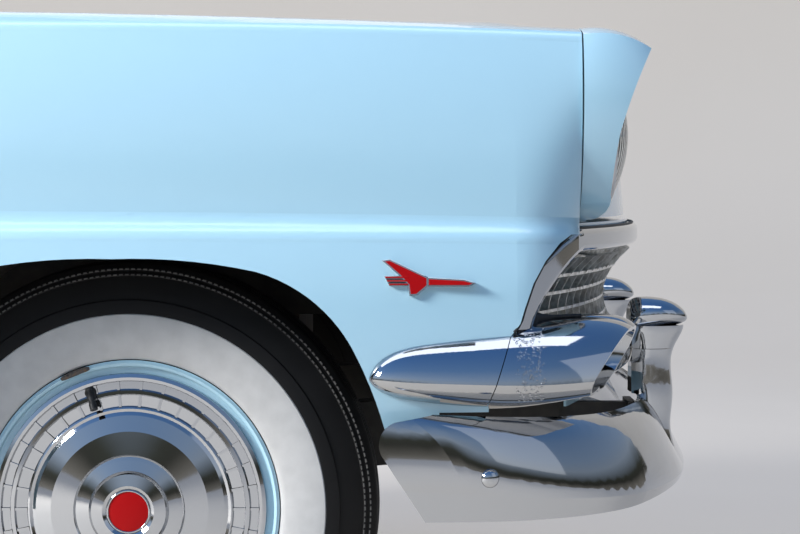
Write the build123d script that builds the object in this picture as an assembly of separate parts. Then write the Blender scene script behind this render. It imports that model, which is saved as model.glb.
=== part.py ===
from build123d import *
import math
import os

# The front end of a 1950s car, from its nose back to the dash panel: sheet metal, grille, lamps,
# bumper, frame stub, front suspension and wheels. Millimetres. X runs from the front axle towards
# the nose, Y to the left and Z up from the floor. The stored frame has its origin on the dash
# panel's rear face, so export moves every piece by (-JOINT_X, 0, -JOINT_Z).

# Where the front end meets the rest of the car
JOINT_X = -600.0
JOINT_Z = 700.0

# Sheet metal
SKIN = 3.0
PANEL_GAP = 6.0
FLANGE = 24.0

# Wheels, from the tyre size
TRACK = 1473.0
TYRE_R = 348.0
TYRE_W = 170.0
BEAD_R = 190.5
RIM_LIP_R = 209.0
RIM_W = 127.0
COVER_SET_IN = 18.0
COVER_R = RIM_LIP_R - COVER_SET_IN
COVER_CELLS = 34
DRUM_R = 142.0
DRUM_W = 62.0
SPINDLE_R = 16.0
HUB_R = 34.0

# Bolts of the body joint
BOLT_Y = 650.0
BOLT_MID_Z = 720.0
BOLT_RISE = 360.0
BOLT_HOLE_R = 5.5

# Steering and suspension
KING_INSET = 101.5
KING_Y = TRACK / 2 - KING_INSET
SPINDLE_OUT = 8.5
ARM_END_GAP = 27.0
BALL_LOW_Z = 240.0
BALL_TOP_Z = 492.0
BALL_R = 17.0
STEER_ARM = 130.0
STEER_ARM_IN = 15.0
STEER_ARM_Y = KING_Y - STEER_ARM_IN
TIE_Z = 274.0
JOINT_CLEAR = 6.0

# Frame
RAIL_Y = 350.0
RAIL_W = 62.0
RAIL_H = 104.0
CROSS_TOP_Z = 430.0

# Body
ARCH_TOP_Z = 702.0
LEDGE_BLEND = 8.0
LINER_GAP = 48.0
LINER_R = TYRE_R + LINER_GAP
APRON_Y = 462.0
FENDER_END_X = 626.0
CORNER_X = 535.0
CORNER_R = 95.0

# Headlamp
LAMP_Y = 745.0
LAMP_Z = 870.0
LENS_R = 89.0
LAMP_RING_R = 94.0
LAMP_SEAT_X = 658.0
LAMP_RING_L = 20.0
LENS_RISE = 22.0
DOOR_WALL = 3.5

# Grille: concentric bows about one upright axis
BOW_R = 2080.0
GRILLE_NOSE_X = 787.0
BOW_X = GRILLE_NOSE_X - BOW_R
GRILLE_TOP_Z = 741.0
MOULD_H = 33.0
MOULD_TURN_Y = 800.0
MOULD_ROUND = 10.0
MESH_LOW_Z = 570.0
MESH_TOP_Z = 698.0
MESH_ROWS = 5
MESH_BAR = 4.5
MESH_DEPTH = 14.0
MESH_PITCH = 46.0

# Hood and cowl
HOOD_REAR_X = -492.0
HOOD_HINGE_X = -500.0
HOOD_HINGE_Z = 1004.0
HOOD_LIP_Z = 753.0
HOOD_LIP_X = 764.0
HOOD_TURN = 174.0
COWL_Y = 728.0
COWL_SIDE_Z = 1026.0
COWL_MID_Z = 1060.0
COWL_FRONT_X = -526.0
DASH_WALL = 4.0

# Bumper
BUMPER_WALL = 4.0
GUARD_Y = 375.0
GUARD_X = 775.0
GUARD_BACK_X = 746.0
GUARD_BROW_Z = 578.0
GUARD_SPLIT_Z = 541.0

FAR = 3000.0


def quad(x, at_joint, at_axle, at_lamp):
    """A value that runs smoothly along the car, from its values at the joint, axle and lamp seam."""
    a, b, c = JOINT_X, 0.0, FENDER_END_X
    return (
        at_joint * (x - b) * (x - c) / ((a - b) * (a - c))
        + at_axle * (x - a) * (x - c) / ((b - a) * (b - c))
        + at_lamp * (x - a) * (x - b) / ((c - a) * (c - b))
    )


# Lines that run along the fender. Columns: y at joint, axle, lamp seam; z at joint, axle, lamp
# seam; share of the turn that the nose corner takes inwards.
FENDER_LINES = {
    "gap": (735, 720, 640, 1030, 1022, 1005, 0.0),
    "crown": (802, 797, 758, 1044, 1039, 1021, 0.0),
    "crease": (885, 873, 848, 1014, 1020, 1007, 0.0),
    "upper": (908, 898, 868, 905, 905, 900, 0.1),
    "ledge_top": (914, 904, 878, 756, 757, 748, 0.9),
    "ledge_foot": (937, 928, 892, 728, 733, 728, 1.0),
    "belly": (949, 942, 902, 540, 590, 630, 1.05),
    "sill": (920, 912, 880, 300, 330, 500, 1.05),
}
LONG_STATIONS = [JOINT_X, -220, 150, CORNER_X]
NOSE_STATIONS = [CORNER_X, 568, 600, FENDER_END_X]


# The line along which the fender's skin stops short of the pod and the grille, in side view
FENDER_NOSE_CUT = [
    (497, 560), (539, 614), (545, 634), (557, 668), (574, 698), (595, 722), (612, 733), (700, 733),
]
FENDER_FOOT_Z = 494.0
FENDER_NOSE_TOP = [(400, 560)] + FENDER_NOSE_CUT + [(700, 900), (400, 900)]


def corner_turn(x):
    """How far the nose corner has turned inwards at x."""
    if x <= CORNER_X:
        return 0.0
    return CORNER_R - math.sqrt(CORNER_R**2 - (x - CORNER_X) ** 2)


def line_at(name, x):
    """(y, z) of a fender line at x."""
    y0, y1, y2, z0, z1, z2, turn = FENDER_LINES[name]
    return (quad(x, y0, y1, y2) - turn * corner_turn(x), quad(x, z0, z1, z2))


def moved(p, dy, dz):
    """A (y, z) point moved."""
    return (p[0] + dy, p[1] + dz)


def unit(v):
    """A (y, z) direction of length one."""
    n = math.hypot(*v)
    return (v[0] / n, v[1] / n)


def arc_tangents(a, m, b):
    """Directions at the start and end of a shallow arc through three points."""
    c = (2 * m[0] - (a[0] + b[0]) / 2, 2 * m[1] - (a[1] + b[1]) / 2)
    return unit((c[0] - a[0], c[1] - a[1])), unit((b[0] - c[0], b[1] - c[1]))


def wall_section(x, nodes, mids, wall):
    """A closed thin section in the plane at x: the outer outline through nodes, with an arc where
    mids has a point and a line where it has None, and the same outline set in by the wall."""
    starts, ends = [], []
    for i, m in enumerate(mids):
        a, b = nodes[i], nodes[i + 1]
        m = m or ((a[0] + b[0]) / 2, (a[1] + b[1]) / 2)
        s, e = arc_tangents(a, m, b)
        starts.append(s)
        ends.append(e)

    def inset(p, before, after):
        n1, n2 = (-before[1], before[0]), (-after[1], after[0])
        n = unit((n1[0] + n2[0], n1[1] + n2[1]))
        reach = wall / max(0.5, n[0] * n1[0] + n[1] * n1[1])
        return (p[0] - n[0] * reach, p[1] - n[1] * reach)

    last = len(nodes) - 1
    inner = []
    for i, p in enumerate(nodes):
        before = ends[i - 1] if i else starts[0]
        after = starts[i] if i < last else ends[last - 1]
        inner.append(inset(p, before, after))
    edges = []
    for i, m in enumerate(mids):
        edges.append(section_edge(x, nodes[i], m, nodes[i + 1]))
    edges.append(section_edge(x, nodes[last], None, inner[last]))
    for i in reversed(range(last)):
        m = mids[i]
        if m:
            chord = unit((nodes[i + 1][0] - nodes[i][0], nodes[i + 1][1] - nodes[i][1]))
            m = inset(m, chord, chord)
        edges.append(section_edge(x, inner[i + 1], m, inner[i]))
    edges.append(section_edge(x, inner[0], None, nodes[0]))
    return Face(Wire(edges))


def section_edge(x, a, m, b):
    """A line or arc in the plane at x."""
    if m is None:
        return Edge.make_line((x, *a), (x, *b))
    return Edge.make_three_point_arc((x, *a), (x, *m), (x, *b))


def both(shape):
    """The left piece and its mirror image on the right."""
    return shape, mirror(shape, Plane.XZ)


def bar(x, y, z):
    """A box between two corners, each given as (low, high)."""
    size = [hi - lo for lo, hi in (x, y, z)]
    centre = [(lo + hi) / 2 for lo, hi in (x, y, z)]
    return Pos(*centre) * Box(*size)


def side_prism(edges, y0, y1):
    """A closed outline in the side view, X and Z, pushed out from y0 to y1."""
    face = Face(Wire(edges))
    return extrude(Pos(0, y0, 0) * face, amount=y1 - y0, dir=(0, 1, 0))


def side_polygon(points, y0, y1):
    """A side-view outline of straight lines, pushed out from y0 to y1."""
    wire = Polyline(*[(x, 0, z) for x, z in points], close=True)
    return side_prism(wire.edges(), y0, y1)


def plan_prism(edges, z0, z1):
    """A closed outline in plan, X and Y, pushed up from z0 to z1."""
    return extrude(Pos(0, 0, z0) * Face(Wire(edges)), amount=z1 - z0, dir=(0, 0, 1))


def rod(a, b, r):
    """A round bar between two points."""
    a, b = Vector(a), Vector(b)
    return extrude(Plane(a, z_dir=b - a) * Circle(r), amount=(b - a).length)


def turned(points, centre=(0, 0, 0)):
    """A profile of (radius, y) points spun about the axle line through centre."""
    face = make_face(Polyline(*[(r, y, 0) for r, y in points], close=True).edges())
    return Pos(*centre) * revolve(face, Axis.Y)


# Fenders


def arch_edges():
    """The wheel opening's outline: a flat top and rounded legs, open to the floor."""
    front = [(-8, ARCH_TOP_Z), (184, 685), (313, 582), (372, 390)]
    mids = [(90, 699.5), (262, 644), (352, 487)]
    back = [(-16 - x, z) for x, z in front]
    back_mids = [(-16 - x, z) for x, z in mids]
    edges = []
    for (a, b), m in zip(zip(front, front[1:]), mids):
        edges.append(Edge.make_three_point_arc((a[0], 0, a[1]), (m[0], 0, m[1]), (b[0], 0, b[1])))
    for (a, b), m in zip(zip(back, back[1:]), back_mids):
        edges.append(Edge.make_three_point_arc((a[0], 0, a[1]), (m[0], 0, m[1]), (b[0], 0, b[1])))
    foot = 150
    low = [(front[-1][0], front[-1][1]), (384, foot), (-400, foot), (back[-1][0], back[-1][1])]
    for (x0, z0), (x1, z1) in zip(low, low[1:]):
        edges.append(Edge.make_line((x0, 0, z0), (x1, 0, z1)))
    return edges


def ledge_arcs(x):
    """The ledge at x as two arcs that blend it into the wall above and the belly below."""
    top, foot = line_at("ledge_top", x), line_at("ledge_foot", x)
    top, foot = moved(top, 0, LEDGE_BLEND), moved(foot, 0, -LEDGE_BLEND)
    mid = ((top[0] + foot[0]) / 2, (top[1] + foot[1]) / 2)
    chord = (mid[0] - top[0], mid[1] - top[1])
    sag = math.tan(math.atan2(chord[0], -chord[1]) / 2) / 2
    bow = (chord[1] * sag, -chord[0] * sag)
    hollow = ((top[0] + mid[0]) / 2 + bow[0], (top[1] + mid[1]) / 2 + bow[1])
    round_over = ((mid[0] + foot[0]) / 2 - bow[0], (mid[1] + foot[1]) / 2 - bow[1])
    return [top, mid, foot], [hollow, round_over]


def fender_section(x):
    """The fender's thin section at x, from the hood gap over the crown and down to the sill."""
    gap, crown, crease = line_at("gap", x), line_at("crown", x), line_at("crease", x)
    ledge, ledge_mids = ledge_arcs(x)
    nodes = [moved(gap, 0, -FLANGE), gap, moved(crease, -10, 4), moved(crease, 1, -11)]
    nodes += ledge + [line_at("sill", x)]
    mids = [None, crown, moved(crease, -2.5, -2.0), line_at("upper", x)]
    mids += ledge_mids + [line_at("belly", x)]
    return wall_section(x, nodes, mids, SKIN)


def fender():
    """Left fender: a skin lofted along the car, with the wheel opening and the nose cut out."""
    skin = loft([fender_section(x) for x in LONG_STATIONS])
    skin += loft([fender_section(x) for x in NOSE_STATIONS])
    skin -= side_prism(arch_edges(), 600, 1100)
    below = [(700, 200), (430, 200), (430, FENDER_FOOT_Z), (497, FENDER_FOOT_Z)]
    skin -= side_polygon(FENDER_NOSE_CUT + below, 500, 1100)
    return skin


# Headlamps


# The door's outlines from its seam to its brow. Columns: x, then four arcs of (y, z) points
DOOR_RINGS = [
    (FENDER_END_X + 2, [
        ((676, 1010), (758, 1021), (847, 1007)),
        ((847, 1007), (866, 900), (812, 775)),
        ((812, 775), (757, 749), (688, 769)),
        ((688, 769), (640, 870), (676, 1010)),
    ]),
    (692.0, [
        ((682, 999), (760, 1013), (842, 1003)),
        ((842, 1003), (860, 894), (810, 777)),
        ((810, 777), (754, 750), (688, 770)),
        ((688, 770), (640, 869), (682, 999)),
    ]),
    (730.0, [
        ((692, 970), (762, 988), (832, 984)),
        ((832, 984), (852, 884), (808, 779)),
        ((808, 779), (752, 751), (689, 770)),
        ((689, 770), (644, 868), (692, 970)),
    ]),
]
# The door's front edge in side view, from the hood over the lamp down to the chin
DOOR_EDGE = [
    ((740, 1020), (704, 948), (678, 872)),
    ((678, 872), (672, 828), (669, 788)),
    ((669, 788), (662, 761), (640, 752)),
]


def door_loop(x, ring, inset):
    """A closed loop of four arcs in the plane at x, set in towards its middle."""
    def at(p):
        n = math.hypot(p[0] - LAMP_Y, p[1] - 880.0)
        keep = 1 - inset / n
        return (x, LAMP_Y + (p[0] - LAMP_Y) * keep, 880.0 + (p[1] - 880.0) * keep)
    edges = []
    for a, m, b in ring:
        edges.append(Edge.make_three_point_arc(at(a), at(m), at(b)))
    return Face(Wire(edges))


def headlamp_door():
    """Left headlamp door: the hooded shell ahead of the fender's seam, with the lamp's seat in it."""
    (x0, back), (x1, middle), (x2, front) = DOOR_RINGS
    tube = loft([door_loop(x0, back, 0), door_loop(x1, middle, 0), door_loop(x2, front, 0)])
    hollow = loft([
        door_loop(x0 - 1, back, DOOR_WALL), door_loop(x1, middle, DOOR_WALL),
        door_loop(x2 + 1, front, DOOR_WALL),
    ])
    seat = bar((LAMP_SEAT_X - DOOR_WALL, LAMP_SEAT_X), (500, 1000), (600, 1100))
    hole = Pos(LAMP_SEAT_X, LAMP_Y, LAMP_Z) * Rot(0, 90, 0) * Cylinder(LENS_R - 3, 60)
    edges = []
    for a, m, b in DOOR_EDGE:
        edges.append(Edge.make_three_point_arc((a[0], 0, a[1]), (m[0], 0, m[1]), (b[0], 0, b[1])))
    corners = [(640, 752), (640, 700), (900, 700), (900, 1020), (740, 1020)]
    for a, b in zip(corners, corners[1:]):
        edges.append(Edge.make_line((a[0], 0, a[1]), (b[0], 0, b[1])))
    ahead = side_prism(edges, 500, 1000)
    return tube - (hollow - seat) - hole - ahead


def lamp_ring():
    """Chrome ring round the headlamp lens."""
    r0, r1, h = LENS_R - 3, LAMP_RING_R, LAMP_RING_L
    edges = [
        Edge.make_line((r0, 0, 0), (r1, 0, 0)),
        Edge.make_line((r1, 0, 0), (r1, 0, h - 7)),
        Edge.make_three_point_arc((r1, 0, h - 7), (r1 - 2.05, 0, h - 2.05), (r1 - 7, 0, h)),
        Edge.make_line((r1 - 7, 0, h), (r0, 0, h - 2)),
        Edge.make_line((r0, 0, h - 2), (r0, 0, 0)),
    ]
    return Pos(LAMP_SEAT_X, LAMP_Y, LAMP_Z) * Rot(0, 90, 0) * revolve(Face(Wire(edges)), Axis.Z)


def domed_lens(r, edge, rise, centre):
    """A round lens facing the nose: a flat-backed disc with a shallow dome."""
    ball = (r * r + rise * rise) / (2 * rise)
    disc = Pos(0, 0, (edge + rise) / 2) * Cylinder(r, edge + rise)
    lens = disc & Pos(0, 0, edge + rise - ball) * Sphere(ball)
    return Pos(*centre) * Rot(0, 90, 0) * lens


def lamp_lens():
    """Sealed-beam glass."""
    return domed_lens(LENS_R - 3.5, LAMP_RING_L, LENS_RISE, (LAMP_SEAT_X, LAMP_Y, LAMP_Z))


# Hood


def hood_profile(y, drop=0.0):
    """The hood's filled side profile at y."""
    bow = 250.0 * (y / 1000.0) ** 2
    crown = 1 - (y / 720.0) ** 2
    flat = 1 - (y / 720.0) ** 4
    rear_z, mid_z, front_z = 1026 + 46 * crown, 1020 + 46 * flat, 1022 + 38 * flat
    lip_x = HOOD_LIP_X - bow
    nose = (lip_x - 16, 926 + 8 * crown)
    a, m, b = (HOOD_REAR_X, rear_z), (60, mid_z), (nose[0] - HOOD_TURN, front_z)
    fall = front_z - nose[1]
    turn_r = (HOOD_TURN**2 + fall**2) / (2 * fall)
    eighth = math.sqrt(0.5)
    c = (b[0] + turn_r * eighth, front_z - turn_r * (1 - eighth))
    lip = (lip_x, HOOD_LIP_Z)
    pts = [(p[0], y, p[1] - drop) for p in (a, m, b, c, nose, lip)]
    foot = HOOD_LIP_Z - drop
    return Face(Wire([
        Edge.make_three_point_arc(pts[0], pts[1], pts[2]),
        Edge.make_three_point_arc(pts[2], pts[3], (pts[4][0], y, pts[4][2])),
        Edge.make_line(pts[4], pts[5]),
        Edge.make_line(pts[5], (HOOD_REAR_X, y, foot)),
        Edge.make_line((HOOD_REAR_X, y, foot), pts[0]),
    ]))


def hood_plan(inset):
    """The hood's outline in plan, set in from the fenders' edges."""
    stations = [HOOD_REAR_X, -200, 100, 350, 560, FENDER_END_X, 720]
    left = []
    for x in stations:
        edge_y = line_at("gap", min(x, FENDER_END_X))[0]
        left.append((x, edge_y - PANEL_GAP - inset))
    left.append((860, left[-1][1]))
    left[0] = (HOOD_REAR_X + inset, left[0][1])
    points = left + [(x, -y) for x, y in reversed(left)]
    return Polyline(*[(x, y, 0) for x, y in points], close=True).edges()


def hood():
    """Hood: one skin with a turned-down edge, from the cowl to the lip above the grille."""
    lofted = loft([hood_profile(y) for y in (-760, -520, -260, 0, 260, 520, 760)])
    deep, thin = FLANGE, SKIN
    rim = lofted - Pos(-deep, 0, -deep) * lofted
    shell = rim & plan_prism(hood_plan(0), 600, 1200)
    inside = (Pos(-thin, 0, -thin) * lofted) & plan_prism(hood_plan(thin), 500, 1300)
    return shell - inside


# Nose: panel under the hood, grille surround, mesh and lower bar


def bow_band(x_front, depth, z0, z1, half_y):
    """A band bowed in plan, its front at x_front on the centre line."""
    r = x_front - BOW_X
    ring = Pos(BOW_X, 0, (z0 + z1) / 2) * (Cylinder(r, z1 - z0) - Cylinder(r - depth, z1 - z0 + 2))
    return ring & bar((BOW_X + 100, FAR), (-half_y, half_y), (z0 - 1, z1 + 1))


def nose_panel():
    """Painted panel that closes the nose between the hood's lip, the lamps and the grille."""
    return bow_band(770, 60, GRILLE_TOP_Z, HOOD_LIP_Z - PANEL_GAP, 792)


def surround_plan(inset):
    """Closed plan outline whose front is the grille's bow with both ends wrapped round the corner."""
    nose = GRILLE_NOSE_X - inset
    r = BOW_R - inset
    y1 = MOULD_TURN_Y - 0.4 * inset
    x1 = BOW_X + math.sqrt(r * r - y1 * y1)
    end = (530.0, 911.0 - inset)
    mid = (588.0 - inset * 0.77, 862.0 - inset * 0.63)
    edges = [Edge.make_three_point_arc((x1, -y1, 0), (nose, 0, 0), (x1, y1, 0))]
    for s in (1, -1):
        turn, tail = (mid[0], s * mid[1], 0), (end[0], s * end[1], 0)
        edges.append(Edge.make_three_point_arc((x1, s * y1, 0), turn, tail))
        edges.append(Edge.make_line((end[0], s * end[1], 0), (300, s * end[1], 0)))
    edges.append(Edge.make_line((300, -end[1], 0), (300, end[1], 0)))
    return edges


def grille_surround():
    """Chrome surround: a broad bar across the top whose ends curl down round the corners."""
    depth = 26.0
    band = plan_prism(surround_plan(0), 560, 780) - plan_prism(surround_plan(depth), 550, 790)
    top, low = GRILLE_TOP_Z - 1, GRILLE_TOP_Z - 1 - MOULD_H
    a, m, b = surround_edge(low)
    half = [
        Edge.make_line((0, 0, top), (0, 760, top)),
        Edge.make_three_point_arc((0, 760, top), (0, 862, top - 30), (0, 918, 640)),
        Edge.make_line((0, 918, 640), (0, 918, 606)),
        Edge.make_line((0, 918, 606), b),
        Edge.make_three_point_arc(b, m, a),
        Edge.make_line(a, (0, 0, low)),
        Edge.make_line((0, 0, low), (0, 0, top)),
    ]
    face = Face(Wire(half))
    front = extrude(face, amount=1000, dir=(1, 0, 0))
    behind = [(x + 1.5, z - 1.0) for x, z in FENDER_NOSE_CUT[:-1]]
    behind = [(300, behind[0][1])] + behind + [(612 + 1.5, 800), (300, 800)]
    left = (band & front & bar((500, 900), (0, 1000), (500, top))) - side_polygon(behind, 600, 1000)
    whole = left + mirror(left, Plane.XZ)
    front_edges = []
    for edge in whole.edges():
        mid = edge @ 0.5
        if edge.length > 70 and math.hypot(mid.X - BOW_X, mid.Y) > BOW_R - 8:
            front_edges.append(edge)
    seat = pod_whole(-1.0) + mirror(pod_whole(-1.0), Plane.XZ)
    return fillet(front_edges, MOULD_ROUND) - seat


def mesh_depth(z):
    """How far the concave mesh stands back from its foremost line at height z."""
    middle = (MESH_LOW_Z + MESH_TOP_Z) / 2 - 14
    half = (MESH_TOP_Z - MESH_LOW_Z) / 2
    return 30.0 * (1 - ((z - middle) / half) ** 2)


def surround_edge(z_mid, gap=0.0):
    """Front view of the surround's inner edge on the left, from the middle outwards."""
    return ((0, 760, z_mid - gap), (0, 838 - gap, 676 - gap), (0, 878 - gap, 606))


def mouth():
    """The opening inside the surround, pushed along the car, less a small gap."""
    top = GRILLE_TOP_Z - 1 - MOULD_H
    a, m, b = surround_edge(top, 1.0)
    edges = [
        Edge.make_line((0, 0, a[2]), a),
        Edge.make_three_point_arc(a, m, b),
        Edge.make_line(b, (0, b[1], MESH_LOW_Z)),
        Edge.make_line((0, b[1], MESH_LOW_Z), (0, 0, MESH_LOW_Z)),
        Edge.make_line((0, 0, MESH_LOW_Z), (0, 0, a[2])),
    ]
    left = extrude(Face(Wire(edges)), amount=1000, dir=(1, 0, 0))
    return left + mirror(left, Plane.XZ)


def grille_mesh():
    """Concave egg-crate mesh: bowed horizontal bars crossed by thin upright plates."""
    front = 760.0
    step = (MESH_TOP_Z - MESH_LOW_Z) / MESH_ROWS
    rows = []
    for i in range(1, MESH_ROWS):
        z = MESH_LOW_Z + i * step
        x = front - mesh_depth(z)
        rows.append(bow_band(x, MESH_DEPTH, z - MESH_BAR / 2, z + MESH_BAR / 2, 862))
    half_turn = math.degrees(math.asin(856 / BOW_R))
    turn = math.degrees(MESH_PITCH / BOW_R)
    count = int(half_turn / turn)
    levels = [MESH_LOW_Z + i * (MESH_TOP_Z - MESH_LOW_Z) / 8 for i in range(9)]
    face_pts = [(front - mesh_depth(z) - BOW_X, z) for z in levels]
    back_pts = [(x - MESH_DEPTH, z) for x, z in reversed(face_pts)]
    plate = side_polygon(face_pts + back_pts, -1.1, 1.1)
    plates = [Pos(BOW_X, 0, 0) * Rot(0, 0, i * turn) * plate for i in range(-count, count + 1)]
    whole = rows[0].fuse(*rows[1:], *plates) & mouth()
    seat = pod_whole(-1.0) + mirror(pod_whole(-1.0), Plane.XZ)
    return max((whole - seat).solids(), key=lambda s: s.volume)


def lower_bar(grow=0.0):
    """Chrome bar under the mesh, between the two lamp pods; grown by a gap to fit its neighbours."""
    g = grow
    r = GRILLE_NOSE_X - 2 - BOW_X + g
    edges = [
        Edge.make_three_point_arc((r - 46, 0, 562 + g), (r - 12, 0, 561 + g), (r, 0, 546)),
        Edge.make_three_point_arc((r, 0, 546), (r - 1, 0, 532), (r - 7, 0, 518)),
        Edge.make_line((r - 7, 0, 518), (r - 22, 0, 506 - g)),
        Edge.make_line((r - 22, 0, 506 - g), (r - 44, 0, 506 - g)),
        Edge.make_line((r - 44, 0, 506 - g), (r - 46, 0, 562 + g)),
    ]
    ring = Pos(BOW_X, 0, 0) * revolve(Face(Wire(edges)), Axis.Z)
    return ring & bar((0, FAR), (-752, 752), (500, 600))


# Lamp pods


POD_SEAM_X = 511.0
POD_SEAM_Z = 552.0
POD_SEAM_LEAN = 30.0 / 90.0
POD_WALL = 4.5
POD_LENS_X = 600.0
POD_RIM = ((637.0, 930.0, 540.0), (704.0, 780.0, 590.0), (690.0, 735.0, 540.0))
# Pod stations. Columns: x, ridge y and z, crease y and z, foot y and z, inner y
POD_STATIONS = [
    (336, 923, 544, 927, 541, 923, 538.5, 920),
    (347, 912, 566, 938, 541, 914, 524, 896),
    (378, 896, 589, 947, 539, 900, 510, 858),
    (430, 880, 602, 951, 537, 884, 501, 824),
    (505, 866, 612, 951, 535, 868, 497, 796),
    (580, 852, 619, 942, 535, 856, 505, 777),
    (640, 838, 619, 925, 538, 842, 516, 763),
    (712, 808, 594, 882, 548, 815, 532, 750),
]
CREASE_BOW = 0.18
FOOT_BOW = 0.13


def bowed(a, b, share):
    """The middle of the arc from a to b that stands out by a share of its chord, to the right of the way."""
    dy, dz = b[0] - a[0], b[1] - a[1]
    return ((a[0] + b[0]) / 2 - dz * share, (a[1] + b[1]) / 2 + dy * share)


def pod_section(station, inset):
    """One section of a pod: a round shoulder down to the crease, a flatter foot, and a round inner side."""
    x, top_y, top_z, out_y, out_z, low_y, low_z, in_y = station
    top, out, low = (top_y, top_z - inset), (out_y - inset, out_z), (low_y, low_z + inset)
    inner = (in_y + inset, (top_z + low_z) / 2)
    edges = [
        section_edge(x, top, bowed(top, out, CREASE_BOW), out),
        section_edge(x, out, bowed(out, low, FOOT_BOW), low),
        section_edge(x, low, inner, top),
    ]
    return Face(Wire(edges))


def pod_whole(inset=0.0):
    """The pod's full form, or the hollow inside its wall."""
    stations = [s for s in POD_STATIONS if not inset or s[0] > 500]
    return loft([pod_section(s, inset) for s in stations])


def fender_body(stations, grow=0.0):
    """The fender's side as a filled form, for fitting what lies against its skin."""
    faces = []
    for x in stations:
        top, foot = line_at("ledge_top", x), line_at("ledge_foot", x)
        belly, sill = line_at("belly", x), line_at("sill", x)
        g = grow
        faces.append(Face(Wire([
            section_edge(x, (500, top[1]), None, moved(top, g, 0)),
            section_edge(x, moved(top, g, 0), None, moved(foot, g, 0)),
            section_edge(x, moved(foot, g, 0), moved(belly, g, 0), moved(sill, g, -40)),
            section_edge(x, moved(sill, g, -40), None, (500, sill[1] - 40)),
            section_edge(x, (500, sill[1] - 40), None, (500, top[1])),
        ])))
    return loft(faces)


def rim_cutter():
    """Half space ahead of the pod's slanted rim."""
    a, b, c = (Vector(*p) for p in POD_RIM)
    normal = (b - a).cross(c - a)
    if normal.X < 0:
        normal = -normal
    plane = Plane(a, z_dir=normal)
    return plane * Pos(0, 0, 200) * Box(800, 800, 400)


def pod_split(side):
    """Half space behind (-1) or ahead (1) of the pod's leaning seam, less half the seam's gap."""
    lean = math.degrees(math.atan(POD_SEAM_LEAN))
    reach = 600.0
    block = Pos(side * (reach / 2 + 0.6), 0, 0) * Box(reach, 800, 400)
    return Pos(POD_SEAM_X, 850, POD_SEAM_Z) * Rot(0, lean, 0) * block


def pods():
    """(rear tip, lamp housing) of the left pod."""
    behind = fender_body(LONG_STATIONS, 0.4) & bar((JOINT_X, 497.4), (400, 1100), (0, 1100))
    above = fender_body(LONG_STATIONS, 0.4) + fender_body(NOSE_STATIONS, 0.4)
    above &= side_polygon(FENDER_NOSE_TOP, 400, 1100)
    whole = pod_whole() - behind - above
    tip = whole & pod_split(-1)
    front = (whole & pod_split(1)) - rim_cutter()
    front -= pod_whole(POD_WALL) & bar((POD_LENS_X, 760), (600, 1100), (400, 700))
    front -= lower_bar(1.0)
    return [max(piece.solids(), key=lambda s: s.volume) for piece in (tip, front)]


def parking_lens():
    """Domed lens deep in the pod, shaped to fit its hollow."""
    fitted = pod_whole(POD_WALL + 0.5) & bar((POD_LENS_X + 0.3, 640), (600, 1100), (400, 700))
    ball = 120.0
    x, y, z = POD_LENS_X + 26, 850.0, 563.0
    return fitted & Pos(x - ball, y, z) * Sphere(ball)


# Bumper


# The bumper's plan outlines from its foot to its top. Columns: z at the side, drop per mm towards
# the nose, nose x, x at the guards, corner x and y, side y at the rear end
BUMPER_LEVELS = [
    (348, 0.012, 858, 828, 724, 735, 940),
    (387, 0.084, 861, 830, 731, 741, 949),
    (428, 0.075, 838, 805, 721, 738, 955),
    (462, 0.073, 820, 786, 705, 731, 952),
    (482, 0.072, 803, 769, 689, 722, 947),
    (491, 0.070, 785, 751, 673, 713, 938),
]
BUMPER_SIDE_X = 330.0
BUMPER_BOW_Y = 400.0
CORNER_WAY = (0.4226, -0.9063)
SIDE_WAY = (-0.991, 0.134)


def bumper_outline(level, inset=0.0, lift=0.0):
    """One plan outline of the bumper, all arcs tangent: bow, corners and sides, closed at the back."""
    z0, drop, nose, bow, cx, cy, ey = level
    by = BUMPER_BOW_Y
    nose, bow, ey = nose - inset, bow - inset, ey - inset
    cx, cy = cx + inset * CORNER_WAY[1], cy - inset * CORNER_WAY[0]

    def at(x, y):
        return Vector(x, y, z0 + lift - drop * (x - 450.0))

    def way(v, s):
        return Vector(v[0], s * v[1], -drop * v[0])

    # Where the corner's tangent meets the side line; the corner's arc has equal reach on both
    ahead = (-CORNER_WAY[0], -CORNER_WAY[1])
    det = ahead[0] * SIDE_WAY[1] - ahead[1] * SIDE_WAY[0]
    dx, dy = BUMPER_SIDE_X - cx, ey - cy
    reach = (dx * SIDE_WAY[1] - dy * SIDE_WAY[0]) / det
    meet = (cx + reach * ahead[0], cy + reach * ahead[1])
    sx, sy = meet[0] + reach * SIDE_WAY[0], meet[1] + reach * SIDE_WAY[1]
    edges = [Edge.make_three_point_arc(at(bow, -by), at(nose, 0), at(bow, by))]
    for s in (1, -1):
        edges.append(Edge.make_tangent_arc(at(cx, s * cy), way(CORNER_WAY, s), at(bow, s * by)))
        edges.append(Edge.make_tangent_arc(at(cx, s * cy), way(ahead, s), at(sx, s * sy)))
        edges.append(Edge.make_line(at(sx, s * sy), at(BUMPER_SIDE_X, s * ey)))
    edges.append(Edge.make_line(at(BUMPER_SIDE_X, -ey), at(BUMPER_SIDE_X, ey)))
    return Face(Wire(edges))


def bumper_form(inset=0.0, over=0.0):
    """The bumper's filled form: a flat band at the foot and a rounded face above it."""
    first, crease, last = BUMPER_LEVELS[0], BUMPER_LEVELS[1], BUMPER_LEVELS[-1]
    foot = loft([bumper_outline(first, inset, -over), bumper_outline(crease, inset)])
    upper = [bumper_outline(level, inset) for level in BUMPER_LEVELS[1:-1]]
    face = loft(upper + [bumper_outline(last, inset, over)])
    return foot + face


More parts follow.
